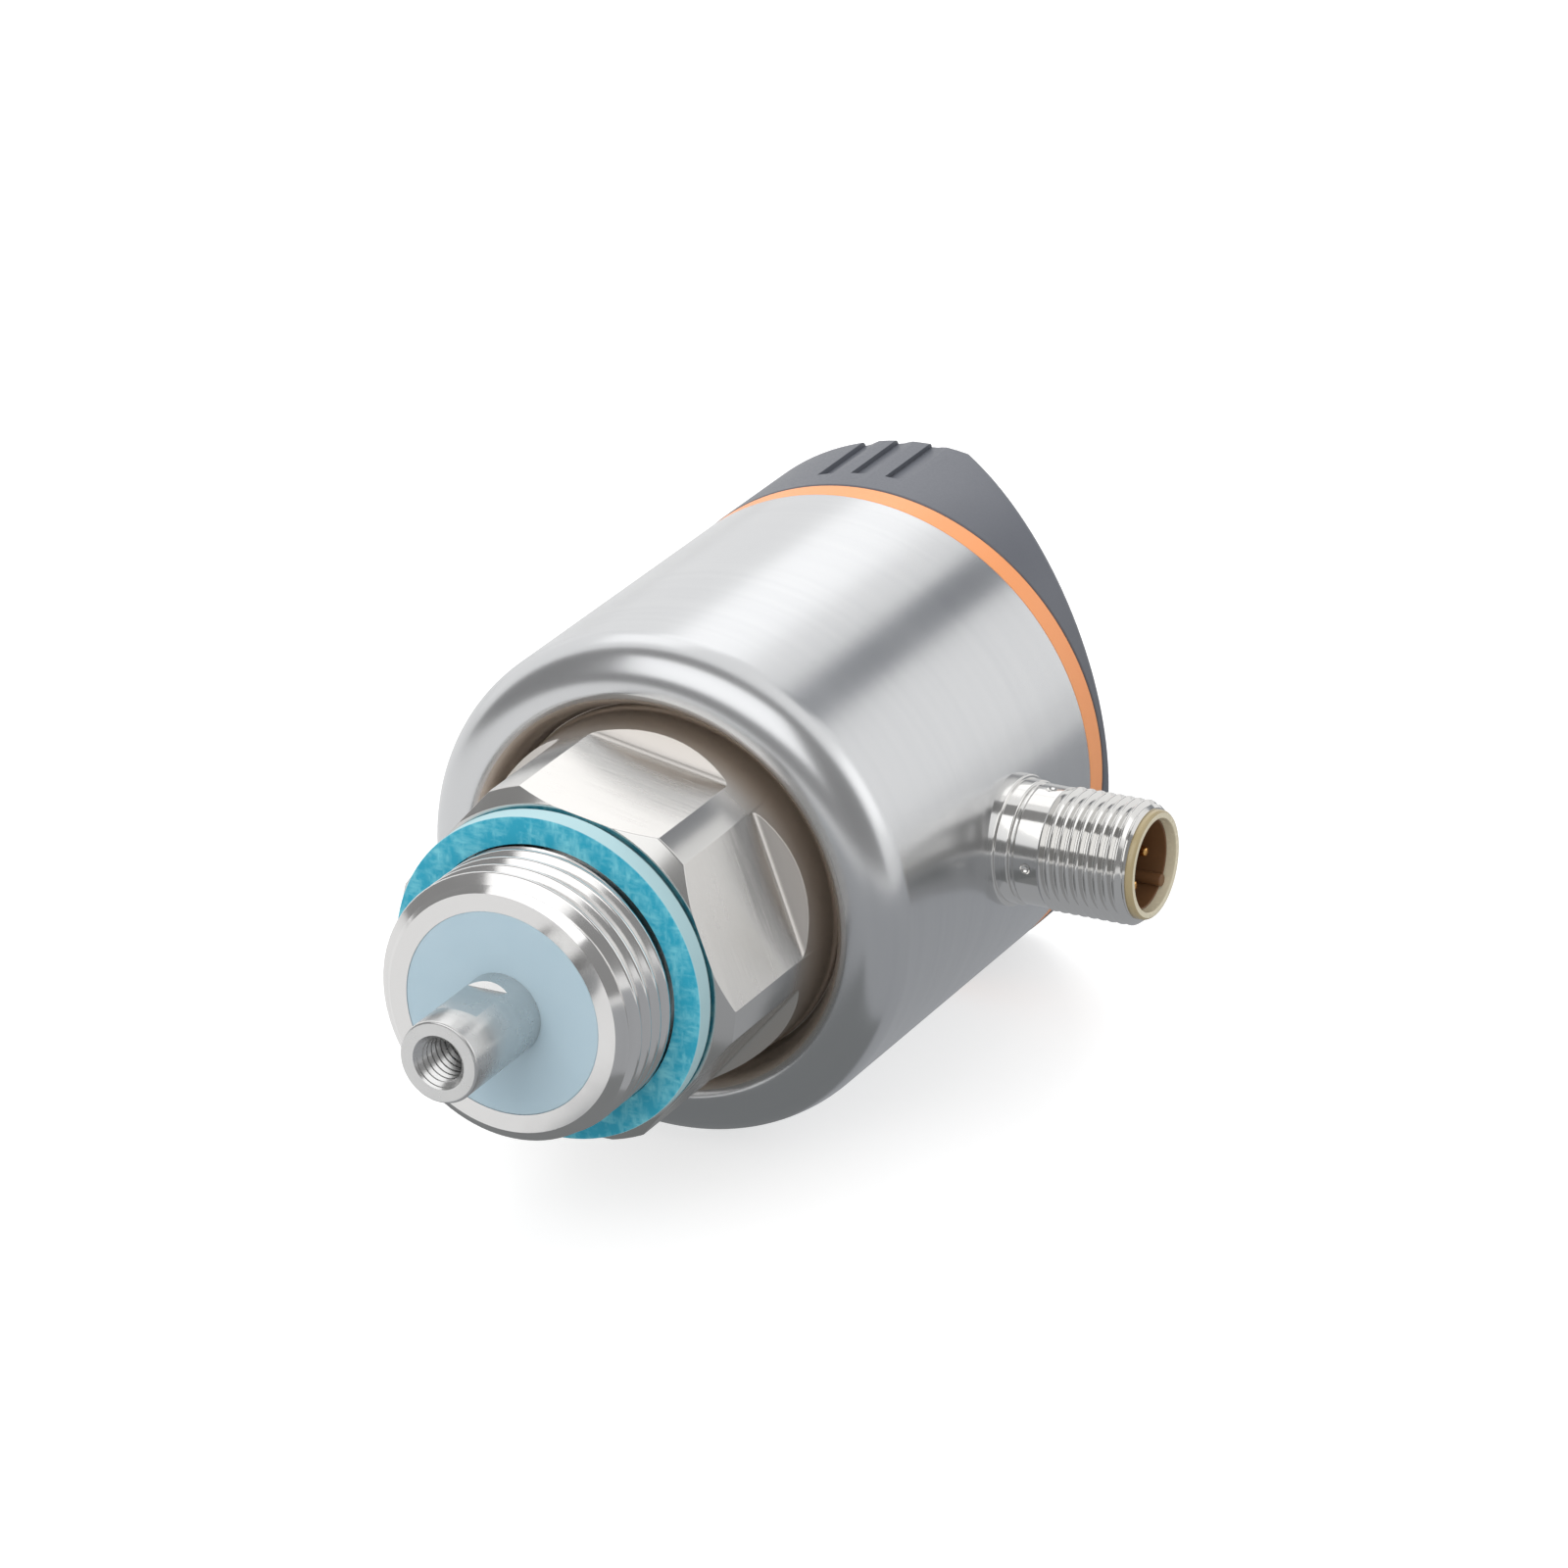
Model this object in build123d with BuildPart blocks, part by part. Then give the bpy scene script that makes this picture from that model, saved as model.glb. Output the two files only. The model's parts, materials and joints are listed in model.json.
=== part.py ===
from build123d import *
import os
from math import cos, sin, radians, sqrt, tan

# Level sensor for a vessel: a drawn stainless housing with a G 3/4 process fitting at one end,
# a round M12 plug on its side and a display head that turns by hand at the other end.
# The sensor lies on its side: Y is its axis (towards the head), X points out of the M12 plug,
# Z is up. The origin is on the axis, in the middle of the process thread.
# Every height below is a distance along Y from the sealing face that presses on the gasket,
# every "_r" is a radius, all in millimetres.

os.makedirs("parts", exist_ok=True)

# Process fitting
thread_r = 13.22
thread_length = 10.35
thread_face_r = 11.75
thread_lead_in = 1.25
relief_r = 11.9
relief_width = 1.7
relief_slope = 0.5
collar_r = 15.6
collar_height = 0.4
hex_across_flats = 32.0
bar_r = 17.6
hex_angle = 79.5
hex_foot = 15.5
hex_foot_rise = 0.55
hex_shoulder_rise = 0.5
front_chamfer = 1.3
rim_r = 17.9
rim_width = 0.7
rim_slope = 0.3
bar_length = 22.2
stem_r = 12.0
stem_end = 31.0
seal_margin = 1.4

# Gasket on the sealing face
gasket_r = 15.95
gasket_bore_r = 13.45
gasket_thickness = 2.0

# Insulating bush, rod socket and the parts that pull them tight
bush_r = 10.0
bush_step = 2.0
bush_tail_r = 7.0
bush_tail_end = 24.0
socket_r = 4.0
socket_length = 11.55
socket_seat = 2.35
socket_flats = 6.9
socket_flat_start = 3.6
socket_flat_length = 5.6
socket_ramp = 0.9
socket_bore_r = 2.1
socket_bore_depth = 10.0
socket_mouth_r = 2.75
socket_edge = 0.25
socket_stem_r = 2.5
socket_stem_end = 30.4
washer_r = 6.5
washer_height = 1.0
probe_nut_flats = 8.0
probe_nut_height = 4.0
oring_r = 0.88
oring_seat = 0.9

# Drawn housing
can_r = 25.0
can_wall = 1.0
can_top = 60.0
roll_inner_width = 2.2
can_bottom = 18.0
lip_gap = 0.4
floor_hole_clearance = 0.1
clamp_nut_flats = 34.0
clamp_nut_height = 6.0

# M12 plug
plug_y = 44.2
plug_stem_r = 5.2
plug_reach = 4.5
plug_flange_r = 6.35
plug_flange_out = 0.5
saddle_depth = 2.0
plug_base_r = 6.0
plug_base_length = 1.3
plug_step_r = 5.6
plug_step_length = 0.4
plug_neck_r = 5.8
plug_neck_length = 3.0
plug_thread_runout = 0.2
plug_thread_length = 7.85
plug_thread_chamfer = 0.45
dimple_r = 0.55
dimple_depth = 0.3
insert_r = 4.9
insert_inset = 0.7
insert_wall = 0.5
cavity_r = 4.1
cavity_depth = 8.5
sleeve_r = 5.7
sleeve_depth = 2.05
sleeve_rim = 0.75
sleeve_front_r = 5.2
sleeve_nose = 0.7
insert_step = 0.3
key_step = 0.5
key_angle = -45.0
key_r = 0.75
key_reach = 3.95
pin_r = 0.5
pin_circle_r = 2.5
pin_stub = 2.0
pin_recess = 2.1
pin_taper = 0.35
pin_tip_r = 0.2
plug_nut_r = 7.6
plug_nut_gap = 0.17
plug_nut_height = 2.2

# Colour ring between housing and head
ring_height = 2.6
ring_width = 4.8

# Head base, fixed in the housing: the head turns round its tube
plug_depth = 6.0
tube_seal_gap = 3.0
base_tube_wall = 3.0
base_tube_end = 67.4
leg_margin = 3.5
leg_width = 8.0
leg_depth = 5.0
leg_end = 35.0
running_clearance = 0.08
head_gap = 0.1
track_half_width = 1.7
track_margin = 2.0
track_depth = 1.6
stop_pin_r = 1.4
stop_pin_collar = 0.7
stop_pin_collar_height = 0.8
stop_pin_drop = 1.2
stop_rib_width = 1.3
clip_groove_depth = 0.8
clip_width = 2.4
clip_opening = 5.0
clip_clearance = 0.2
clip_height = 0.8
track_seal_gap = 2.8

# Turning head
head_turn = 8.0
head_step = 0.05
head_wall = 2.05
head_top = 76.0
head_top_wall = 1.8
slope = 35.0
slope_edge = 1.15
slope_wall = 1.6
edge_round = 0.6
plate_ledge = 1.0
plate_height = 1.0
boss_wall = 3.0
boss_end = 65.6
grip_count = 3
grip_pitch = 8.6
grip_width = 4.6
grip_floor = 1.6
grip_rise = 0.1
grip_depth = 0.5
grip_start = 66.0

# Window and display behind the slope
view_up = 3.0
window_width = 26.0
window_height = 9.0
window_thickness = 1.2
window_corner = 1.5
view_lip = 1.5
view_lip_high = 1.0
module_edge = 0.5
module_edge_high = 0.2
module_depth = 3.0
board_edge = 2.2
display_board_height = 10.0
board_thickness = 1.2
screw_gap = 1.8
screw_r = 0.8
screw_head_r = 1.5
screw_head_height = 0.9
post_r = 1.7

# Push buttons on the flat top
button_r = 3.0
button_offset = 7.5
button_s = -1.5
button_proud = 0.6
button_flange_r = 3.7
button_flange_height = 0.8
button_travel = 0.5
switch_size = 5.0
switch_height = 1.5
switch_gap = 0.1
key_board_width = 30.0
key_board_edge = 1.7
key_board_length = 13.0
key_board_s = -3.5

# Boards in the housing
main_board_thickness = 1.6
main_board_start = 37.0
main_board_end = 53.5
main_board_slot = 1.5
measure_board_gap = 3.5
measure_board_thickness = 1.6
shield_width = 16.0
shield_depth = 12.0
shield_height = 2.6
contact_r = 0.9
fixing_screw_r = 1.1
fixing_head_r = 2.1
fixing_head_height = 1.2

# How far a cutting shape reaches past the surface that it cuts
overshoot = 1.0

# Sizes that follow from those above: fitting and housing
socket_tip = -thread_length - socket_length
bush_groove_r = bush_r - 2 * oring_seat
floor_y = bar_length
floor_hole_r = stem_r + floor_hole_clearance
lip_r = rim_r + lip_gap
roll_r = can_r - lip_r - roll_inner_width
can_bore_r = can_r - can_wall

# Places along the plug, outwards from the housing
plug_inner_end = can_bore_r - plug_reach
plug_flange_end = can_r + plug_flange_out
plug_base_end = plug_flange_end + plug_base_length
plug_step_end = plug_base_end + plug_step_length
plug_thread_start = plug_step_end + plug_neck_length
plug_thread_end = plug_thread_start + plug_thread_length
dimple_x = 0.5 * (plug_step_end + plug_thread_start)
sleeve_start = plug_thread_end - sleeve_depth
sleeve_shoulder = plug_thread_end + sleeve_rim
sleeve_end = sleeve_shoulder + sleeve_nose
insert_back = plug_inner_end + insert_inset
cavity_floor = sleeve_end - cavity_depth
pin_back = plug_inner_end - pin_stub
pin_tip = sleeve_end - pin_recess
plug_nut_end = sqrt(can_bore_r**2 - plug_nut_r**2) - plug_nut_gap
plug_nut_start = plug_nut_end - plug_nut_height

# Ring, head base and boards
ring_top = can_top + ring_height
ring_bore_r = can_r - ring_width
track_r = ring_bore_r - track_margin - track_half_width
head_seal_r = track_r - track_half_width - track_seal_gap
base_tube_r = head_seal_r - tube_seal_gap
base_bore_r = base_tube_r - base_tube_wall
boss_r = base_tube_r + boss_wall
clip_groove_r = base_tube_r - clip_groove_depth
clip_r = clip_groove_r + clip_width
clip_start = boss_end + clip_clearance
measure_board_r = can_bore_r - measure_board_gap
measure_board_start = leg_end - measure_board_thickness
leg_distance = measure_board_r - leg_margin
main_board_width = 2 * (leg_distance - leg_depth / 2 + main_board_slot)

# Head, its slope, and what sits behind the slope and the flat top
head_r = can_r + head_step
head_bore_r = head_r - head_wall
plate_r = head_bore_r - plate_ledge
head_bottom = ring_top + head_gap
slope_low = head_bottom + slope_edge
slope_start = head_r - (head_top - slope_low) / tan(radians(slope))
view_width = window_width - 2 * view_lip
view_height = window_height - 2 * view_lip_high
module_width = window_width - 2 * module_edge
module_height = window_height - 2 * module_edge_high
screw_offset = module_width / 2 + screw_gap
display_board_width = 2 * (screw_offset + board_edge)
button_bore_r = button_r + running_clearance
key_screw_offset = key_board_width / 2 - key_board_edge

# Planes: profiles along the axis, sections across it and across the plug, and the head as it stands turned
seal_y = 0.5 * (thread_length - thread_lead_in + relief_width + relief_slope)
base = (0, seal_y, 0)
profile_plane = Plane(origin=base, x_dir=(1, 0, 0), z_dir=(0, 0, 1))
plug_plane = Plane(origin=base, x_dir=(0, 1, 0), z_dir=(1, 0, 0))
axis_plane = Plane(origin=base, x_dir=(1, 0, 0), z_dir=(0, 1, 0))
plug_axis = Axis((0, seal_y + plug_y, 0), (1, 0, 0))
turn = radians(head_turn)
head_plane = Plane(origin=base, x_dir=(cos(turn), 0, sin(turn)), z_dir=(0, 1, 0))
side_plane = Plane(origin=base, x_dir=(cos(turn), 0, sin(turn)), z_dir=(sin(turn), 0, -cos(turn)))
tilt = radians(slope)
slope_mid = 0.5 * (slope_start + head_r)
slope_origin = (slope_mid, 0, head_top - (slope_mid - slope_start) * tan(tilt))
slope_normal = Vector(sin(tilt), 0, cos(tilt))
across = head_plane.y_dir
outward = head_plane.x_dir * slope_normal.X + head_plane.z_dir * slope_normal.Z
slope_plane = Plane(origin=head_plane.from_local_coords(slope_origin), x_dir=across, z_dir=outward)


def at(height):
    """Plane square to the housing axis at a given height."""
    return axis_plane.offset(height)


def head_at(height):
    """The same for the head, with its first direction down the slope."""
    return head_plane.offset(height)


# Process fitting, one turned and milled piece of stainless bar
with BuildPart() as process_fitting:
    with BuildSketch(profile_plane):
        with BuildLine():
            Polyline(
                (bush_r, -thread_length),
                (thread_face_r, -thread_length),
                (thread_r, -thread_length + thread_lead_in),
                (thread_r, -relief_width - relief_slope),
                (relief_r, -relief_width),
                (relief_r, 0),
                (collar_r, 0),
                (collar_r, collar_height),
                (bar_r - front_chamfer, collar_height),
                (bar_r, collar_height + front_chamfer),
                (bar_r, bar_length - rim_width - rim_slope),
                (rim_r, bar_length - rim_width),
                (rim_r, bar_length),
                (stem_r, bar_length),
                (stem_r, stem_end),
                (bush_tail_r, stem_end),
                (bush_tail_r, bush_step),
                (bush_r, bush_step),
                close=True,
            )
        make_face()
    revolve(axis=Axis.Y)
    # Six flats milled back to a shoulder, so wide bands of the round bar are left between them
    flat = hex_across_flats / 2
    for k in range(6):
        angle = radians(hex_angle + 60 * k)
        flat_plane = Plane(
            origin=base, x_dir=(cos(angle), 0, sin(angle)), z_dir=(-sin(angle), 0, cos(angle))
        )
        with BuildSketch(flat_plane):
            with BuildLine():
                Polyline(
                    (flat, 0),
                    (flat, hex_foot),
                    (flat + hex_foot_rise, hex_foot + hex_foot_rise),
                    (rim_r + overshoot, hex_foot + hex_foot_rise + hex_shoulder_rise),
                    (rim_r + overshoot, 0),
                    close=True,
                )
            make_face()
        extrude(amount=bar_r, both=True, mode=Mode.SUBTRACT)
    # Groove for the seal against the housing floor
    with BuildSketch(at(bar_length)):
        Circle(stem_r + seal_margin + 2 * oring_seat)
        Circle(stem_r + seal_margin, mode=Mode.SUBTRACT)
    extrude(amount=-2 * oring_seat, mode=Mode.SUBTRACT)
process_fitting.part.label = "process_fitting"

# Fibre gasket
with BuildPart() as gasket:
    with BuildSketch(at(-gasket_thickness)):
        Circle(gasket_r)
        Circle(gasket_bore_r, mode=Mode.SUBTRACT)
    extrude(amount=gasket_thickness)
gasket.part.label = "gasket"

# Insulating bush between fitting and rod socket
with BuildPart() as insulator:
    with BuildSketch(profile_plane):
        with BuildLine():
            Polyline(
                (socket_r, -thread_length),
                (bush_r, -thread_length),
                (bush_r, bush_step - 2 * oring_seat),
                (bush_groove_r, bush_step - 2 * oring_seat),
                (bush_groove_r, bush_step),
                (bush_tail_r, bush_step),
                (bush_tail_r, bush_tail_end),
                (socket_stem_r, bush_tail_end),
                (socket_stem_r, -thread_length + socket_seat),
                (socket_r, -thread_length + socket_seat),
                close=True,
            )
        make_face()
    revolve(axis=Axis.Y)
insulator.part.label = "insulator"

# Rod socket: a threaded mouth for the measuring rod, two spanner flats and a long stem
with BuildPart() as rod_socket:
    with BuildSketch(profile_plane):
        with BuildLine():
            Polyline(
                (0, socket_tip + socket_bore_depth + 1.2),
                (socket_bore_r, socket_tip + socket_bore_depth),
                (socket_bore_r, socket_tip + socket_mouth_r - socket_bore_r),
                (socket_mouth_r, socket_tip),
                (socket_r - socket_edge, socket_tip),
                (socket_r, socket_tip + socket_edge),
                (socket_r, -thread_length + socket_seat),
                (socket_stem_r, -thread_length + socket_seat),
                (socket_stem_r, socket_stem_end - 0.4),
                (socket_stem_r - 0.4, socket_stem_end),
                (0, socket_stem_end),
                close=True,
            )
        make_face()
    revolve(axis=Axis.Y)
    flat_from = socket_tip + socket_flat_start
    flat_to = flat_from + socket_flat_length
    with BuildSketch(plug_plane):
        for side in (1, -1):
            with BuildLine():
                Polyline(
                    (flat_from - socket_ramp, side * (socket_r + 0.5)),
                    (flat_from, side * socket_flats / 2),
                    (flat_to, side * socket_flats / 2),
                    (flat_to + socket_ramp, side * (socket_r + 0.5)),
                    close=True,
                )
            make_face()
    extrude(amount=socket_r, both=True, mode=Mode.SUBTRACT)
rod_socket.part.label = "rod_socket"

# Seals of the bush and of the fitting
with BuildPart() as insulator_seal:
    with BuildSketch(profile_plane):
        with Locations((bush_r - oring_seat, bush_step - oring_seat)):
            Circle(oring_r)
    revolve(axis=Axis.Y)
insulator_seal.part.label = "insulator_seal"

with BuildPart() as fitting_seal:
    with BuildSketch(profile_plane):
        with Locations((stem_r + seal_margin + oring_seat, bar_length - oring_seat)):
            Circle(oring_r)
    revolve(axis=Axis.Y)
fitting_seal.part.label = "fitting_seal"

# Washer and nut that draw the socket into the bush
with BuildPart() as probe_washer:
    with BuildSketch(at(bush_tail_end)):
        Circle(washer_r)
        Circle(socket_stem_r, mode=Mode.SUBTRACT)
    extrude(amount=washer_height)
probe_washer.part.label = "probe_washer"

with BuildPart() as probe_nut:
    with BuildSketch(at(bush_tail_end + washer_height)):
        RegularPolygon(probe_nut_flats / 2, 6, major_radius=False)
        Circle(socket_stem_r, mode=Mode.SUBTRACT)
    extrude(amount=probe_nut_height)
probe_nut.part.label = "probe_nut"

# Drawn housing: its edge rolls round into a recess and rises to a lip round the fitting
with BuildPart() as can:
    roll_centre = (can_r - roll_r, can_bottom + roll_r)
    lip_centre = (can_r - roll_r, floor_y)
    lip_height = floor_y - can_bottom
    with BuildSketch(profile_plane):
        with BuildLine():
            Line((floor_hole_r, floor_y), (lip_r, floor_y))
            EllipticalCenterArc(lip_centre, roll_inner_width, lip_height, start_angle=180, arc_size=90)
            CenterArc(roll_centre, roll_r, 270, 90)
            Line((can_r, can_bottom + roll_r), (can_r, can_top))
            Line((can_r, can_top), (can_bore_r, can_top))
            Line((can_bore_r, can_top), (can_bore_r, can_bottom + roll_r))
            CenterArc(roll_centre, roll_r - can_wall, 270, 90)
            EllipticalCenterArc(
                lip_centre, roll_inner_width - can_wall, lip_height - can_wall, start_angle=180, arc_size=90
            )
            Line((lip_r + can_wall, floor_y), (lip_r + can_wall, floor_y + can_wall))
            Line((lip_r + can_wall, floor_y + can_wall), (floor_hole_r, floor_y + can_wall))
            Line((floor_hole_r, floor_y + can_wall), (floor_hole_r, floor_y))
        make_face()
    revolve(axis=Axis.Y)
    # Hole for the plug
    with BuildSketch(plug_plane):
        with Locations((plug_y, 0)):
            Circle(plug_stem_r)
    extrude(amount=can_r + overshoot, mode=Mode.SUBTRACT)
can.part.label = "can"

# Nut that clamps the fitting to the housing floor
with BuildPart() as clamp_nut:
    with BuildSketch(at(floor_y + can_wall)):
        RegularPolygon(clamp_nut_flats / 2, 6, major_radius=False)
        Circle(stem_r, mode=Mode.SUBTRACT)
    extrude(amount=clamp_nut_height)
clamp_nut.part.label = "clamp_nut"

# Shell of the plug, crimped on the insert by four dimples
with BuildPart() as connector_shell:
    with BuildSketch(profile_plane):
        with BuildLine():
            Polyline(
                (plug_inner_end, plug_y + insert_r),
                (plug_inner_end, plug_y + plug_stem_r),
                (can_bore_r - saddle_depth, plug_y + plug_stem_r),
                (can_bore_r - saddle_depth, plug_y + plug_flange_r),
                (plug_flange_end, plug_y + plug_flange_r),
                (plug_flange_end, plug_y + plug_base_r),
                (plug_base_end, plug_y + plug_base_r),
                (plug_base_end, plug_y + plug_step_r),
                (plug_step_end, plug_y + plug_step_r),
                (plug_step_end, plug_y + plug_neck_r),
                (plug_thread_start - plug_thread_runout, plug_y + plug_neck_r),
                (plug_thread_start, plug_y + plug_base_r),
                (plug_thread_end - plug_thread_chamfer, plug_y + plug_base_r),
                (plug_thread_end, plug_y + plug_base_r - plug_thread_chamfer),
                (plug_thread_end, plug_y + insert_r),
                close=True,
            )
        make_face()
    revolve(axis=plug_axis)
    # The flange is saddled to sit on the round housing, its stem goes through the hole
    with BuildSketch(plug_plane, mode=Mode.PRIVATE) as stem_ring:
        with Locations((plug_y, 0)):
            Circle(plug_flange_r + overshoot)
            Circle(plug_stem_r, mode=Mode.SUBTRACT)
    saddle = extrude(stem_ring.sketch, amount=can_r + overshoot, mode=Mode.PRIVATE)
    drum = at(plug_y).location * Cylinder(can_r, 4 * plug_flange_r, mode=Mode.PRIVATE)
    add(saddle & drum, mode=Mode.SUBTRACT)
    # Crimp dimples
    for quarter in range(4):
        angle = radians(90 * quarter)
        reach = plug_neck_r + dimple_r - dimple_depth
        with Locations((dimple_x, seal_y + plug_y + reach * cos(angle), reach * sin(angle))):
            Sphere(dimple_r, mode=Mode.SUBTRACT)
connector_shell.part.label = "connector_shell"

# Light rim of the plug, then its dark contact insert with the coding key
with BuildPart() as connector_sleeve:
    with BuildSketch(profile_plane):
        with BuildLine():
            Polyline(
                (sleeve_start, plug_y + insert_r - insert_wall),
                (sleeve_start, plug_y + insert_r),
                (plug_thread_end, plug_y + insert_r),
                (plug_thread_end, plug_y + sleeve_r),
                (sleeve_shoulder, plug_y + sleeve_r),
                (sleeve_end, plug_y + sleeve_front_r),
                (sleeve_end, plug_y + insert_r - insert_wall),
                close=True,
            )
        make_face()
    revolve(axis=plug_axis)
connector_sleeve.part.label = "connector_sleeve"

with BuildPart() as connector_insert:
    with BuildSketch(profile_plane):
        with BuildLine():
            Polyline(
                (insert_back, plug_y),
                (insert_back, plug_y + insert_r),
                (sleeve_start, plug_y + insert_r),
                (sleeve_start, plug_y + insert_r - insert_wall),
                (sleeve_end - insert_step, plug_y + insert_r - insert_wall),
                (sleeve_end - insert_step, plug_y + cavity_r),
                (cavity_floor, plug_y + cavity_r),
                (cavity_floor, plug_y),
                close=True,
            )
        make_face()
    revolve(axis=plug_axis)
    key = radians(key_angle)
    with BuildSketch(plug_plane.offset(cavity_floor)):
        with Locations((plug_y + cos(key) * key_reach, sin(key) * key_reach)):
            Circle(key_r)
        with Locations((plug_y, 0)):
            Circle(cavity_r + 0.1, mode=Mode.INTERSECT)
    extrude(amount=sleeve_end - key_step - cavity_floor)
    with BuildSketch(plug_plane.offset(insert_back)):
        with Locations((plug_y, 0)):
            with PolarLocations(pin_circle_r, 4):
                Circle(pin_r)
    extrude(amount=cavity_floor - insert_back, mode=Mode.SUBTRACT)
connector_insert.part.label = "connector_insert"

# Four contact pins with rounded tips
with BuildPart() as one_pin:
    with BuildSketch(Plane.XY):
        with BuildLine():
            Polyline(
                (pin_back, 0),
                (pin_back, pin_r),
                (pin_tip - pin_taper, pin_r),
                (pin_tip, pin_tip_r),
                (pin_tip, 0),
                close=True,
            )
        make_face()
    revolve(axis=Axis.X)
connector_pins = []
for number in range(4):
    angle = radians(90 * number)
    place = Pos(0, seal_y + plug_y + pin_circle_r * cos(angle), pin_circle_r * sin(angle))
    pin = place * one_pin.part
    pin.label = f"connector_pin_{number + 1}"
    connector_pins.append(pin)

# Round nut that holds the plug inside the housing
with BuildPart() as connector_nut:
    with BuildSketch(plug_plane.offset(plug_nut_start)):
        with Locations((plug_y, 0)):
            Circle(plug_nut_r)
            Circle(plug_stem_r, mode=Mode.SUBTRACT)
    extrude(amount=plug_nut_end - plug_nut_start)
connector_nut.part.label = "connector_nut"

# Colour ring
with BuildPart() as colour_ring:
    with BuildSketch(at(can_top)):
        Circle(can_r)
        Circle(ring_bore_r, mode=Mode.SUBTRACT)
    extrude(amount=ring_height)
colour_ring.part.label = "colour_ring"

# Head base: a plug in the housing, two legs for the boards, the tube that the head turns on
with BuildPart() as head_base:
    with BuildSketch(at(can_top - plug_depth)):
        Circle(can_bore_r)
    extrude(amount=plug_depth)
    with BuildSketch(at(can_top)):
        Circle(ring_bore_r)
    extrude(amount=ring_height)
    with BuildSketch(at(ring_top)):
        Circle(base_tube_r)
    extrude(amount=base_tube_end - ring_top)
    with BuildSketch(at(leg_end)):
        for side in (1, -1):
            with Locations((0, side * leg_distance)):
                Rectangle(leg_width, leg_depth)
    extrude(amount=can_top - plug_depth - leg_end)
    with BuildSketch(at(leg_end)):
        Rectangle(main_board_thickness, main_board_width)
    extrude(amount=can_top - plug_depth - leg_end, mode=Mode.SUBTRACT)
    with BuildSketch(at(can_top - plug_depth)):
        Circle(base_bore_r)
    extrude(amount=base_tube_end - can_top + plug_depth, mode=Mode.SUBTRACT)
    # Round track for the stop pin, closed by one rib
    with BuildSketch(head_at(ring_top)):
        Circle(track_r + track_half_width)
        Circle(track_r - track_half_width, mode=Mode.SUBTRACT)
        with Locations((track_r, 0)):
            Rectangle(4 * track_half_width, stop_rib_width, mode=Mode.SUBTRACT)
    extrude(amount=-track_depth, mode=Mode.SUBTRACT)
    # Grooves for the head seal and the retaining clip
    with BuildSketch(at(ring_top)):
        Circle(head_seal_r + oring_seat)
        Circle(head_seal_r - oring_seat, mode=Mode.SUBTRACT)
    extrude(amount=-2 * oring_seat, mode=Mode.SUBTRACT)
    with BuildSketch(at(clip_start)):
        Circle(base_tube_r + overshoot)
        Circle(clip_groove_r, mode=Mode.SUBTRACT)
    extrude(amount=clip_height, mode=Mode.SUBTRACT)
head_base.part.label = "head_base"

with BuildPart() as head_seal:
    with BuildSketch(profile_plane):
        with Locations((head_seal_r, ring_top - oring_seat)):
            Circle(oring_r)
    revolve(axis=Axis.Y)
head_seal.part.label = "head_seal"

with BuildPart() as retaining_clip:
    with BuildSketch(at(clip_start)):
        Circle(clip_r)
        Circle(clip_groove_r, mode=Mode.SUBTRACT)
        Rectangle(2 * clip_r, clip_opening, align=(Align.MAX, Align.CENTER), mode=Mode.SUBTRACT)
    extrude(amount=clip_height)
retaining_clip.part.label = "retaining_clip"

# Boards inside the housing
with BuildPart() as main_board:
    with BuildSketch(at(main_board_start)):
        Rectangle(main_board_thickness, main_board_width)
    extrude(amount=main_board_end - main_board_start)
main_board.part.label = "main_board"

with BuildPart() as shield:
    with BuildSketch(plug_plane.offset(-main_board_thickness / 2)):
        with Locations(((main_board_start + main_board_end) / 2, 0)):
            Rectangle(shield_depth, shield_width)
    extrude(amount=-shield_height)
shield.part.label = "shield"

with BuildPart() as measuring_board:
    with BuildSketch(at(measure_board_start)):
        Circle(measure_board_r)
        with Locations((0, leg_distance), (0, -leg_distance)):
            Circle(fixing_screw_r, mode=Mode.SUBTRACT)
    extrude(amount=leg_end - measure_board_start)
measuring_board.part.label = "measuring_board"

with BuildPart() as contact_pin:
    with BuildSketch(at(socket_stem_end)):
        Circle(contact_r)
    extrude(amount=measure_board_start - socket_stem_end)
contact_pin.part.label = "contact_pin"

fixing_screws = []
for number, side in enumerate((1, -1)):
    with BuildPart() as fixing_screw:
        with BuildSketch(at(measure_board_start - fixing_head_height)):
            with Locations((0, side * leg_distance)):
                Circle(fixing_head_r)
        extrude(amount=fixing_head_height)
        with BuildSketch(at(measure_board_start)):
            with Locations((0, side * leg_distance)):
                Circle(fixing_screw_r)
        extrude(amount=leg_end - measure_board_start)
    fixing_screw.part.label = f"fixing_screw_{number + 1}"
    fixing_screws.append(fixing_screw.part)

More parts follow.
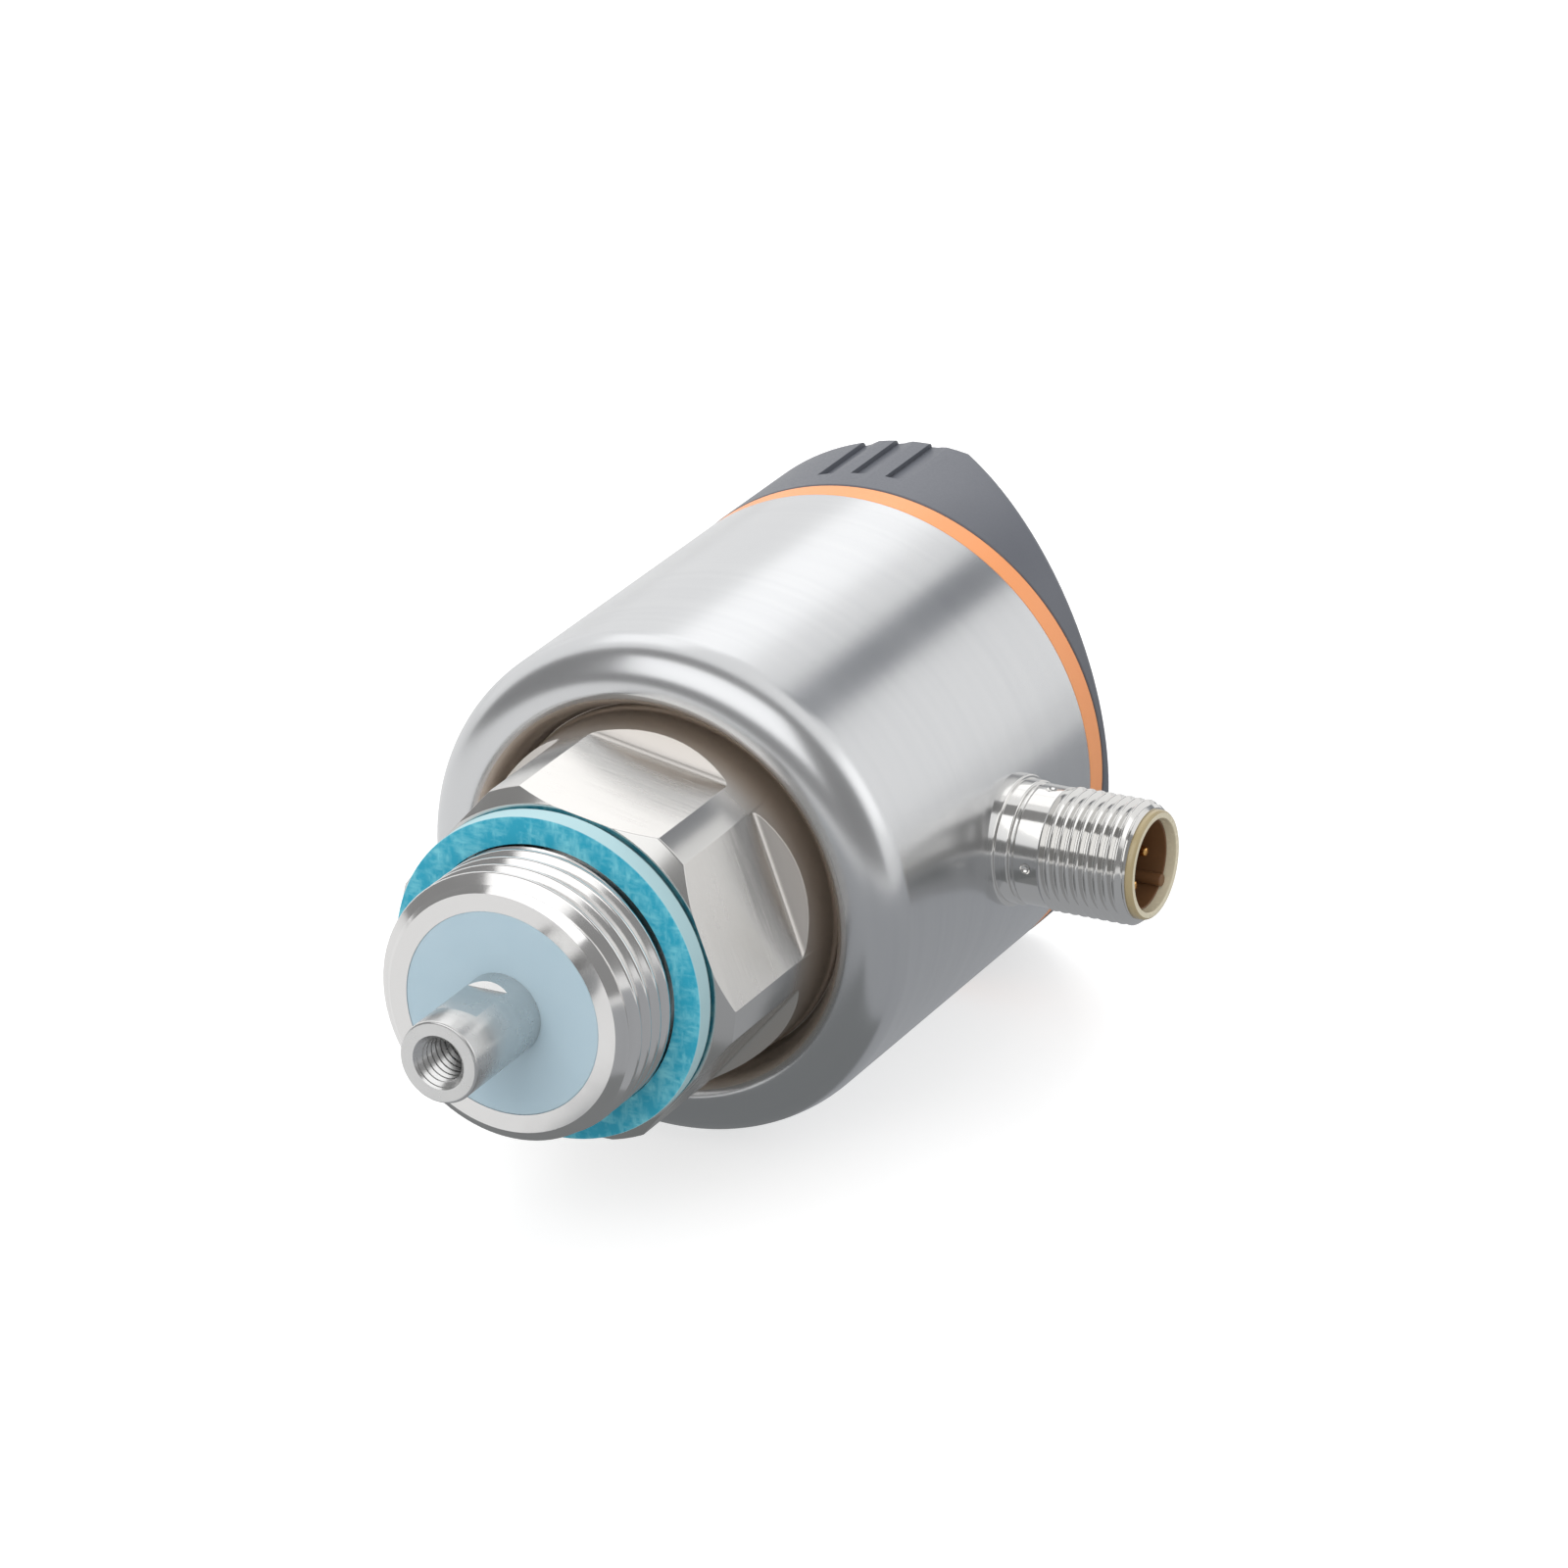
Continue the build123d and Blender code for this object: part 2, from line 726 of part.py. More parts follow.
# Head cap: a round cap with a flat top and one slope for the display
with BuildPart() as head_cap:
    with BuildSketch(side_plane):
        with BuildLine():
            Polyline(
                (-head_r, -head_bottom),
                (-head_r, -head_top),
                (slope_start, -head_top),
                (head_r, -slope_low),
                (head_r, -head_bottom),
                close=True,
            )
        make_face()
    extrude(amount=head_r, both=True)
    with BuildSketch(head_at(head_bottom)):
        Circle(head_r)
    extrude(amount=head_top - head_bottom, mode=Mode.INTERSECT)
    # Rounded edges round the top and the slope, but not at the parting line below
    upright = head_cap.edges().filter_by(Axis.Y)
    parting = head_cap.edges().group_by(Axis.Y)[0]
    fillet(head_cap.edges() - upright - parting, edge_round)
    # Hollow inside, leaving the walls
    inner_drop = slope_wall / cos(tilt)
    inner_start = slope_start + (head_top_wall - inner_drop) / tan(tilt)
    inner_rise = head_top - inner_drop - head_bottom - plate_height
    inner_end = slope_start + inner_rise / tan(tilt)
    with BuildSketch(side_plane, mode=Mode.PRIVATE) as hollow_side:
        with BuildLine():
            Polyline(
                (-head_bore_r, -head_bottom - plate_height),
                (-head_bore_r, -head_top + head_top_wall),
                (inner_start, -head_top + head_top_wall),
                (inner_end, -head_bottom - plate_height),
                close=True,
            )
        make_face()
    hollow = extrude(hollow_side.sketch, amount=head_bore_r, both=True, mode=Mode.PRIVATE)
    core = head_at(head_bottom).location * Cylinder(
        head_bore_r, head_top, align=(Align.CENTER, Align.CENTER, Align.MIN), mode=Mode.PRIVATE
    )
    add(hollow & core, mode=Mode.SUBTRACT)
    with BuildSketch(head_at(head_bottom)):
        Circle(plate_r)
    extrude(amount=plate_height, mode=Mode.SUBTRACT)
    # Finger grips on both sides: a sharp wall and a gentle ramp, open at the top edge
    for side in (1, -1):
        for k in range(grip_count):
            centre = side * 90 + (k - (grip_count - 1) / 2) * grip_pitch
            wall = radians(centre)
            ramp = radians(centre - side * grip_width)
            foot = radians(centre - side * grip_floor)
            foot_r = head_r - grip_depth + grip_rise
            outer = head_r + overshoot
            with BuildSketch(head_at(grip_start)):
                with BuildLine():
                    Polyline(
                        ((head_r - grip_depth) * cos(wall), (head_r - grip_depth) * sin(wall)),
                        (outer * cos(wall), outer * sin(wall)),
                        (outer * cos(ramp), outer * sin(ramp)),
                        (head_r * cos(ramp), head_r * sin(ramp)),
                        (foot_r * cos(foot), foot_r * sin(foot)),
                        close=True,
                    )
                make_face()
            extrude(amount=head_top + overshoot - grip_start, mode=Mode.SUBTRACT)
    # Seat and opening of the window
    with BuildSketch(slope_plane):
        with Locations((0, view_up)):
            RectangleRounded(window_width, window_height, window_corner)
    extrude(amount=-window_thickness, mode=Mode.SUBTRACT)
    with BuildSketch(slope_plane):
        with Locations((0, view_up)):
            Rectangle(view_width, view_height)
    extrude(amount=-slope_wall - overshoot, mode=Mode.SUBTRACT)
    # Button holes
    with BuildSketch(head_at(head_top)):
        with Locations((button_s, button_offset), (button_s, -button_offset)):
            Circle(button_bore_r)
    extrude(amount=-head_top_wall, mode=Mode.SUBTRACT)
    # Posts for the two small boards
    with BuildSketch(slope_plane.offset(-slope_wall)):
        with Locations((screw_offset, view_up), (-screw_offset, view_up)):
            Circle(post_r)
            Circle(screw_r, mode=Mode.SUBTRACT)
    extrude(amount=-module_depth)
    with BuildSketch(head_at(head_top - head_top_wall)):
        with Locations((key_board_s, key_screw_offset), (key_board_s, -key_screw_offset)):
            Circle(post_r)
            Circle(screw_r, mode=Mode.SUBTRACT)
    extrude(amount=-(button_flange_height + button_travel + switch_gap + switch_height))
head_cap.part.label = "head_cap"

# Bottom plate of the head, with the boss that runs on the tube
with BuildPart() as head_plate:
    with BuildSketch(head_at(head_bottom)):
        Circle(plate_r)
    extrude(amount=plate_height)
    with BuildSketch(head_at(head_bottom)):
        Circle(boss_r)
    extrude(amount=boss_end - head_bottom)
    with BuildSketch(head_at(head_bottom)):
        Circle(base_tube_r + running_clearance)
    extrude(amount=boss_end - head_bottom, mode=Mode.SUBTRACT)
    with BuildSketch(head_at(head_bottom)):
        with Locations((-track_r, 0)):
            Circle(stop_pin_r)
    extrude(amount=plate_height, mode=Mode.SUBTRACT)
head_plate.part.label = "head_plate"

with BuildPart() as stop_pin:
    with BuildSketch(head_at(ring_top - stop_pin_drop)):
        with Locations((-track_r, 0)):
            Circle(stop_pin_r)
    extrude(amount=stop_pin_drop + head_gap + plate_height)
    with BuildSketch(head_at(head_bottom + plate_height)):
        with Locations((-track_r, 0)):
            Circle(stop_pin_r + stop_pin_collar)
    extrude(amount=stop_pin_collar_height)
stop_pin.part.label = "stop_pin"

# Window, display and its board, all square to the slope
with BuildPart() as display_window:
    with BuildSketch(slope_plane):
        with Locations((0, view_up)):
            RectangleRounded(window_width, window_height, window_corner)
    extrude(amount=-window_thickness)
display_window.part.label = "display_window"

with BuildPart() as display_module:
    with BuildSketch(slope_plane.offset(-slope_wall)):
        with Locations((0, view_up)):
            Rectangle(module_width, module_height)
    extrude(amount=-module_depth)
display_module.part.label = "display_module"

with BuildPart() as display_board:
    with BuildSketch(slope_plane.offset(-slope_wall - module_depth)):
        with Locations((0, view_up)):
            Rectangle(display_board_width, display_board_height)
        with Locations((screw_offset, view_up), (-screw_offset, view_up)):
            Circle(screw_r, mode=Mode.SUBTRACT)
    extrude(amount=-board_thickness)
display_board.part.label = "display_board"

board_screws = []
board_back = -slope_wall - module_depth - board_thickness
for number, side in enumerate((1, -1)):
    with BuildPart() as board_screw:
        with BuildSketch(slope_plane.offset(board_back)):
            with Locations((side * screw_offset, view_up)):
                Circle(screw_r)
        extrude(amount=board_thickness + module_depth)
        with BuildSketch(slope_plane.offset(board_back)):
            with Locations((side * screw_offset, view_up)):
                Circle(screw_head_r)
        extrude(amount=-screw_head_height)
    board_screw.part.label = f"board_screw_{number + 1}"
    board_screws.append(board_screw.part)

# Key board with its two switches
flange_bottom = head_top - head_top_wall - button_flange_height
switch_top = flange_bottom - button_travel - switch_gap
key_board_top = switch_top - switch_height
with BuildPart() as key_board:
    with BuildSketch(head_at(key_board_top)):
        with Locations((key_board_s, 0)):
            Rectangle(key_board_length, key_board_width)
        with Locations((key_board_s, key_screw_offset), (key_board_s, -key_screw_offset)):
            Circle(screw_r, mode=Mode.SUBTRACT)
    extrude(amount=-board_thickness)
key_board.part.label = "key_board"

key_screws = []
for number, side in enumerate((1, -1)):
    with BuildPart() as key_screw:
        with BuildSketch(head_at(key_board_top - board_thickness)):
            with Locations((key_board_s, side * key_screw_offset)):
                Circle(screw_r)
        extrude(amount=board_thickness + switch_height + button_travel + switch_gap + button_flange_height)
        with BuildSketch(head_at(key_board_top - board_thickness)):
            with Locations((key_board_s, side * key_screw_offset)):
                Circle(screw_head_r)
        extrude(amount=-screw_head_height)
    key_screw.part.label = f"key_screw_{number + 1}"
    key_screws.append(key_screw.part)

switches = []
buttons = []
for number, side in enumerate((1, -1)):
    with BuildPart() as switch:
        with BuildSketch(head_at(key_board_top)):
            with Locations((button_s, side * button_offset)):
                Rectangle(switch_size, switch_size)
        extrude(amount=switch_height)
    switch.part.label = f"switch_{number + 1}"
    switches.append(switch.part)
    # Button: a round key held in by its flange
    with BuildPart() as button:
        with BuildSketch(head_at(flange_bottom)):
            with Locations((button_s, side * button_offset)):
                Circle(button_flange_r)
        extrude(amount=button_flange_height)
        with BuildSketch(head_at(flange_bottom)):
            with Locations((button_s, side * button_offset)):
                Circle(button_r)
        extrude(amount=button_flange_height + head_top_wall + button_proud)
        chamfer(button.faces().sort_by(Axis.Y)[-1].edges(), 0.3)
    button.part.label = f"button_{number + 1}"
    buttons.append(button.part)

single = [
    process_fitting, gasket, insulator, rod_socket, insulator_seal, fitting_seal, probe_washer, probe_nut,
    can, clamp_nut, connector_shell, connector_sleeve, connector_insert, connector_nut, colour_ring,
    head_base, head_seal, retaining_clip, main_board, shield, measuring_board, contact_pin, head_cap,
    head_plate, stop_pin, display_window, display_module, display_board, key_board,
]
pieces = [piece.part for piece in single]
for group in (connector_pins, fixing_screws, board_screws, key_screws, switches, buttons):
    pieces.extend(group)
for piece in pieces:
    export_step(piece, f"parts/{piece.label}.step")
    print(piece.label, round(piece.volume, 2))
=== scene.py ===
# %% [markdown]
# The object is a level sensor lying on its side: a drawn stainless housing, a turned process
# fitting with a G 3/4 thread, a rod socket in a pale bush, a round M12 plug and a grey head.
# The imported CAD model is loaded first. It gives the sizes and the frame: Y runs along the
# sensor towards its head, X out of the plug and Z up, all in metres.

# %% Load the frame
import bpy, json
from math import radians, sin, cos, tan, pi, sqrt
from mathutils import Matrix, Vector


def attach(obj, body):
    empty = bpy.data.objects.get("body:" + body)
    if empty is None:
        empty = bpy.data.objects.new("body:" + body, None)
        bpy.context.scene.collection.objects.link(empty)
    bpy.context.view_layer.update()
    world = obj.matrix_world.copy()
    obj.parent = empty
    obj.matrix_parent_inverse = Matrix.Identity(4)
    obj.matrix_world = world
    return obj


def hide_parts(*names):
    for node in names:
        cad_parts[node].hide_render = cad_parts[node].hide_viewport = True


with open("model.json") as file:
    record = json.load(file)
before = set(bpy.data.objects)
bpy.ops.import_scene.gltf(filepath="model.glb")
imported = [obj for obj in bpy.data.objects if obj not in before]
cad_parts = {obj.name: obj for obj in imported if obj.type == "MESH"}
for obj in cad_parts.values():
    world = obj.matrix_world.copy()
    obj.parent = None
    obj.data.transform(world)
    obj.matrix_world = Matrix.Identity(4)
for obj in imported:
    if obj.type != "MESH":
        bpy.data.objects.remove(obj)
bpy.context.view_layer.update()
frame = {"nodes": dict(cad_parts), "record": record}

# %% [markdown]
# Every size below is in millimetres, as on a drawing, and is made metres where it is used.
# Heights along Y are counted from the sealing face, which lies 5.65 mm from the origin towards
# the head.

# %% Sizes shared with the CAD
MM = 0.001
SEAL = 5.65
THREAD_R, THREAD_LENGTH, FACE_R = 13.22, 10.35, 11.75
THREAD_PITCH, THREAD_DEPTH = 1.814, 1.16
BAR_R, FLAT, HEX_ANGLE = 17.6, 16.0, 79.5
CAN_R, CAN_TOP, CAN_BOTTOM, LIP_R, FLOOR_Y = 25.0, 60.0, 18.0, 18.3, 22.2
PLUG_Y = 44.2
RING_TOP, HEAD_BOTTOM, HEAD_R, HEAD_TOP = 62.6, 62.7, 25.04, 76.0
SLOPE, SLOPE_START, HEAD_TURN = 35.0, 7.7, 8.0
SOCKET_TIP, SOCKET_R, BUSH_R = -21.9, 4.0, 10.0
CAN_WALL, ROLL_R, STEM_R, RING_BORE_R = 1.0, 4.5, 12.0, 20.2
GASKET_R, GASKET_HEIGHT = 15.95, 2.0
PLUG_R, PLUG_BORE_R, PLUG_END = 6.0, 4.9, 39.5
DISPLAY_UP, KEY_ALONG, KEY_ACROSS = 3.0, -1.5, 7.5


def up(height):
    """A height above the sealing face as a place along Y, in mm."""
    return SEAL + height


print("housing", 2 * CAN_R, "mm wide, thread", 2 * THREAD_R, "mm wide")
print("sensor from", up(SOCKET_TIP), "to", up(HEAD_TOP), "mm along Y")

# %% [markdown]
# A camera with a long lens stands 0.8 m away, a little above the sensor and to its right. Its
# place and turn come from a fit of the photograph's circles: the ring, the thread and the plug.

# %% Camera
camera_data = bpy.data.cameras.new("camera")
camera_data.lens = 202.5
camera_data.sensor_width = 36.0
camera_data.clip_end = 20.0
camera = bpy.data.objects.new("camera", camera_data)
camera.location = (0.36975, -0.63021, 0.33514)
camera.rotation_euler = (radians(66.658), radians(1.461), radians(27.896))
bpy.context.scene.collection.objects.link(camera)
bpy.context.scene.camera = camera
print("camera at", tuple(round(c, 4) for c in camera.location))

# %% [markdown]
# Two small helpers are used by every material. Colours are written as the hex values that a
# paint chart gives, so they are turned linear once. A node is added with its settings and links
# in one line, so a material reads like a recipe.

# %% Colour and node helpers
def colour(hex_value):
    """An sRGB hex colour as linear RGBA."""
    parts = [int(hex_value[i:i + 2], 16) / 255 for i in (1, 3, 5)]
    return tuple(c / 12.92 if c <= 0.04045 else ((c + 0.055) / 1.055) ** 2.4 for c in parts) + (1.0,)


def node(tree, kind, settings=None, links=None, **values):
    """Add a node: settings are its own fields, values its sockets, links come from other sockets."""
    made = tree.nodes.new(kind)
    for name, value in (settings or {}).items():
        setattr(made, name, value)
    for name, value in values.items():
        made.inputs[name.replace("_", " ")].default_value = value
    for name, socket in (links or {}).items():
        tree.links.new(socket, made.inputs[name])
    return made

# %% [markdown]
# Metals. The housing is stainless steel sheet, drawn and then brushed round its girth, so its
# grain runs in rings: fine streaks that change quickly along Y and hardly at all round it. The
# fitting and the socket are turned and milled from bar, brighter and with tool marks. Where the
# housing shades the fitting, it turns rougher, and its colour is painted paler and warmer: painted
# warm light in the recess. The plug is brass with a bright nickel plating, almost a mirror. A metal
# keeps the default IOR.

# %% Metal recipes
def principled(name, base, metallic, roughness):
    """A new material with a Principled shader, and its node tree."""
    material = bpy.data.materials.new(name)
    material.use_nodes = True
    tree = material.node_tree
    shader = tree.nodes["Principled BSDF"]
    shader.inputs["Base Color"].default_value = colour(base)
    shader.inputs["Metallic"].default_value = metallic
    shader.inputs["Roughness"].default_value = roughness
    return material, tree, shader


def grain(tree, scale_per_mm, detail):
    """Noise on Object coordinates, stretched by a different count of waves per mm along each axis."""
    where = node(tree, "ShaderNodeTexCoord")
    stretch = node(tree, "ShaderNodeMapping", links={"Vector": where.outputs["Object"]},
                   Scale=tuple(waves / MM for waves in scale_per_mm))
    return node(tree, "ShaderNodeTexNoise", links={"Vector": stretch.outputs["Vector"]}, Scale=1.0,
                Detail=detail)


def ramp_between(tree, factor, low, high, out_low, out_high):
    """Map a range of a factor to another range."""
    return node(tree, "ShaderNodeMapRange", links={"Value": factor}, From_Min=low, From_Max=high,
                To_Min=out_low, To_Max=out_high)


def bump(tree, shader, height, distance_mm, strength):
    """Give the shader a bump of a real depth."""
    relief = node(tree, "ShaderNodeBump", links={"Height": height}, Distance=distance_mm * MM,
                  Strength=strength)
    tree.links.new(relief.outputs["Normal"], shader.inputs["Normal"])


def tint(tree, shader, factor, dark, light):
    """Vary the base colour between two hex colours."""
    mix = node(tree, "ShaderNodeMix", {"data_type": "RGBA"}, {"Factor": factor})
    mix.inputs[6].default_value = colour(dark)
    mix.inputs[7].default_value = colour(light)
    tree.links.new(mix.outputs[2], shader.inputs["Base Color"])


def brushed_stainless():
    """Stainless sheet, brushed round the housing: the eye sees an even satin with a faint grain."""
    # The real grain is under 0.1 mm wide. It is drawn about 1 mm wide, which the render can show.
    material, tree, shader = principled("brushed_stainless_sheet", "#D3D4D6", 1.0, 0.24)
    streaks = grain(tree, (0.02, 0.9, 0.02), 1.0)
    soft = grain(tree, (0.05, 0.05, 0.05), 2.0)
    tint(tree, shader, streaks.outputs[0], "#D0D1D3", "#D7D8D9")
    rough = ramp_between(tree, soft.outputs[0], 0.3, 0.7, 0.21, 0.27)
    tree.links.new(rough.outputs[0], shader.inputs["Roughness"])
    bump(tree, shader, streaks.outputs[0], 0.003, 0.2)
    return material


def turned_stainless(name, dark, light, roughness, blotch_per_mm):
    """Bar turned on a lathe: bright, with faint rings of feed marks and handling blotches."""
    # Real feed marks are 0.1 to 0.2 mm apart. They are drawn 0.6 mm apart, so that they show.
    material, tree, shader = principled(name, light, 1.0, roughness)
    rings = grain(tree, (0.05, 1.6, 0.05), 1.0)
    blotches = grain(tree, (blotch_per_mm,) * 3, 3.0)
    tint(tree, shader, rings.outputs[0], dark, light)
    rough = ramp_between(tree, blotches.outputs[0], 0.3, 0.7, roughness - 0.04, roughness + 0.04)
    tree.links.new(rough.outputs[0], shader.inputs["Roughness"])
    bump(tree, shader, rings.outputs[0], 0.002, 0.3)
    return material


def stainless_with_painted_recess_light():
    """The same bar where the housing shades it: rougher towards the recess, with painted warm light there."""
    material, tree, shader = principled("turned_stainless_painted_recess_light", "#D7D6D5", 1.0, 0.2)
    where = node(tree, "ShaderNodeTexCoord")
    split = node(tree, "ShaderNodeSeparateXYZ", links={"Vector": where.outputs["Object"]})
    # Painted light: the colour turns paler and warmer towards the recess, where the housing shades the bar.
    bright_up_to, dull_from = up(12.0) * MM, up(18.5) * MM
    depth = ramp_between(tree, split.outputs["Y"], bright_up_to, dull_from, 0.0, 1.0)
    tint(tree, shader, depth.outputs[0], "#D3D2D0", "#E3DBD3")
    rough = ramp_between(tree, split.outputs["Y"], bright_up_to, dull_from, 0.2, 0.44)
    tree.links.new(rough.outputs[0], shader.inputs["Roughness"])
    return material


def milled_stainless():
    """The same bar after the mill: a warm satin grey with fine scratches across the sensor."""
    # The cutter's marks are drawn about 0.5 mm apart, coarser than they are, so that they show.
    material, tree, shader = principled("milled_stainless_flat", "#D4D1CD", 1.0, 0.22)
    scratches = grain(tree, (0.12, 2.2, 0.12), 1.5)
    tint(tree, shader, scratches.outputs[0], "#DAD8D5", "#E3E1DE")
    rough = ramp_between(tree, scratches.outputs[0], 0.3, 0.7, 0.2, 0.28)
    tree.links.new(rough.outputs[0], shader.inputs["Roughness"])
    bump(tree, shader, scratches.outputs[0], 0.002, 0.12)
    return material


def nickel_plated():
    """Brass with bright nickel plating: almost a mirror, with faint draw lines."""
    material, tree, shader = principled("nickel_plated_brass", "#DEDDDB", 1.0, 0.1)
    lines = grain(tree, (3.0, 0.05, 0.05), 2.0)
    rough = ramp_between(tree, lines.outputs[0], 0.3, 0.7, 0.07, 0.14)
    tree.links.new(rough.outputs[0], shader.inputs["Roughness"])
    bump(tree, shader, lines.outputs[0], 0.002, 0.3)
    return material


def zinc_plated():
    """Zinc-plated steel of the small inner parts: dull grey with a faint spangle."""
    material, tree, shader = principled("zinc_plated_steel", "#B4B7BA", 1.0, 0.38)
    spangle = grain(tree, (0.8, 0.8, 0.8), 2.0)
    tint(tree, shader, spangle.outputs[0], "#A6A9AC", "#C0C3C6")
    return material


def gold_plated():
    """Gold-plated contact: warm yellow, polished, slightly uneven."""
    material, tree, shader = principled("gold_plated_contact", "#F2C078", 1.0, 0.25)
    cloud = grain(tree, (1.5, 1.5, 1.5), 2.0)
    tint(tree, shader, cloud.outputs[0], "#EDAE5C", "#F8CD8C")
    return material


STAINLESS, MILLED = brushed_stainless(), milled_stainless()
TURNED = turned_stainless("turned_stainless_bar", "#CECDCB", "#D7D6D5", 0.2, 0.3)
BRIGHT = turned_stainless("bright_turned_thread", "#E0DFDE", "#E9E8E7", 0.14, 0.3)
SATIN = turned_stainless("satin_turned_stainless", "#D0D0D0", "#DADAD9", 0.26, 0.35)
# The fitting's stainless, with painted warm light towards the recess.
RECESS_PAINTED_LIGHT = stainless_with_painted_recess_light()
NICKEL, ZINC, GOLD = nickel_plated(), zinc_plated(), gold_plated()
print("metals", [m.name for m in (STAINLESS, TURNED, BRIGHT, SATIN, RECESS_PAINTED_LIGHT, MILLED, NICKEL, ZINC, GOLD)])

# %% [markdown]
# Plastics, rubber and fibre. The head is satin polyamide moulded in an eroded tool, so it has a
# fine even grain. The gasket is pressed aramid fibre: teal, mottled, paler where it is cut. The
# bush is turned fluoropolymer, waxy and a little translucent.

# %% Plastic, fibre and rubber recipes
def moulded(name, dark, light, roughness, grain_mm=0.25, depth=0.006):
    """A moulded plastic with an eroded grain of a given size."""
    material, tree, shader = principled(name, light, 0.0, roughness)
    pits = grain(tree, (1 / grain_mm,) * 3, 2.0)
    clouds = grain(tree, (0.08, 0.08, 0.08), 2.0)
    tint(tree, shader, clouds.outputs[0], dark, light)
    rough = ramp_between(tree, pits.outputs[0], 0.3, 0.7, roughness - 0.04, roughness + 0.05)
    tree.links.new(rough.outputs[0], shader.inputs["Roughness"])
    bump(tree, shader, pits.outputs[0], depth, 0.5)
    return material


def pressed_fibre():
    """Aramid fibre sheet: short pale fibres in a teal binder, and a pale rim where it was cut."""
    material, tree, shader = principled("pressed_aramid_fibre", "#3FAFC8", 0.0, 0.62)
    clouds = grain(tree, (0.5, 0.5, 0.5), 4.0)
    fibres, crossing = grain(tree, (2.2, 1.0, 0.8), 4.0), grain(tree, (0.8, 1.0, 2.2), 4.0)
    woven = node(tree, "ShaderNodeMath", {"operation": "MAXIMUM"},
                 {0: fibres.outputs[0], 1: crossing.outputs[0]})
    both = node(tree, "ShaderNodeMath", {"operation": "MULTIPLY"},
                {0: clouds.outputs[0], 1: woven.outputs[0]})
    spread = ramp_between(tree, both.outputs[0], 0.2, 0.42, 0.0, 1.0)
    tint(tree, shader, spread.outputs[0], "#27AAC8", "#7CD4E4")
    where = node(tree, "ShaderNodeTexCoord")
    flat = node(tree, "ShaderNodeVectorMath", {"operation": "MULTIPLY"}, {0: where.outputs["Object"]})
    flat.inputs[1].default_value = (1 / MM, 0, 1 / MM)
    radius = node(tree, "ShaderNodeVectorMath", {"operation": "LENGTH"}, {0: flat.outputs[0]})
    rim = ramp_between(tree, radius.outputs["Value"], GASKET_R - 0.09, GASKET_R - 0.01, 0.0, 1.0)
    face = shader.inputs["Base Color"].links[0].from_socket
    mix = node(tree, "ShaderNodeMix", {"data_type": "RGBA"}, {"Factor": rim.outputs[0], 6: face})
    mix.inputs[7].default_value = colour("#B4D6DC")
    tree.links.new(mix.outputs[2], shader.inputs["Base Color"])
    bump(tree, shader, fibres.outputs[0], 0.02, 0.4)
    return material


def turned_fluoropolymer():
    """Turned PTFE-like bush: pale, waxy, light goes a little way into it."""
    material, tree, shader = principled("turned_fluoropolymer", "#B4C9D5", 0.0, 0.45)
    clouds = grain(tree, (0.12, 0.12, 0.12), 2.0)
    tint(tree, shader, clouds.outputs[0], "#B2CBD8", "#C0D6E1")
    shader.inputs["Subsurface Weight"].default_value = 0.15
    shader.inputs["Subsurface Radius"].default_value = (0.8, 0.9, 1.0)
    shader.inputs["Subsurface Scale"].default_value = MM
    return material


def tinted_window():
    """Clear polycarbonate with a dark red tint, polished."""
    material, tree, shader = principled("tinted_polycarbonate", "#8E5458", 0.0, 0.06)
    shader.inputs["Transmission Weight"].default_value = 0.85
    shader.inputs["IOR"].default_value = 1.58
    wipe = grain(tree, (0.15, 0.15, 0.6), 2.0)
    rough = ramp_between(tree, wipe.outputs[0], 0.3, 0.7, 0.04, 0.09)
    tree.links.new(rough.outputs[0], shader.inputs["Roughness"])
    return material


GREY = moulded("satin_grey_polyamide", "#5C5F67", "#686B73", 0.42)
BLACK = moulded("black_polyamide", "#1E1F22", "#26272A", 0.5)
ORANGE = moulded("orange_polycarbonate", "#FBA062", "#FFAE74", 0.4)
IVORY = moulded("ivory_thermoplastic", "#E6DCBE", "#EEE5CB", 0.25, 0.4, 0.003)
# A darker copy of the ivory: painted shade for the rim's outer wall.
SHADED_IVORY = moulded("ivory_thermoplastic_painted_shade", "#A6946D", "#B7A986", 0.22, 0.4, 0.003)
BROWN = moulded("brown_contact_carrier", "#6B4932", "#86613F", 0.4, 0.4, 0.004)
KEYTOP = moulded("soft_key_rubber", "#303237", "#393B40", 0.6)
RUBBER = moulded("nitrile_rubber", "#141414", "#1D1D1D", 0.65)
BOARD = moulded("solder_mask_board", "#0F5A2C", "#156B37", 0.35, 0.6, 0.003)
DISPLAY = moulded("dark_display_face", "#1A1011", "#241618", 0.3, 0.5, 0.001)
SEGMENT = moulded("unlit_segment", "#A9787A", "#B98A8C", 0.35, 0.5, 0.001)
FIBRE, PTFE, WINDOW = pressed_fibre(), turned_fluoropolymer(), tinted_window()
print("plastics and fibre ready")

# %% [markdown]
# Every round piece is turned like on a lathe. Its half profile is drawn point by point with
# Extrude, then Spin takes it round the axis. A corner may have a radius, because no real edge is
# sharp: the rounding is what catches the light.

# %% Lathe helpers
MERGE_MM, FINE_MERGE_MM = 0.002, 0.001


def clear_selection():
    if bpy.context.mode != "OBJECT":
        bpy.ops.object.mode_set(mode="OBJECT")
    bpy.ops.object.select_all(action="DESELECT")


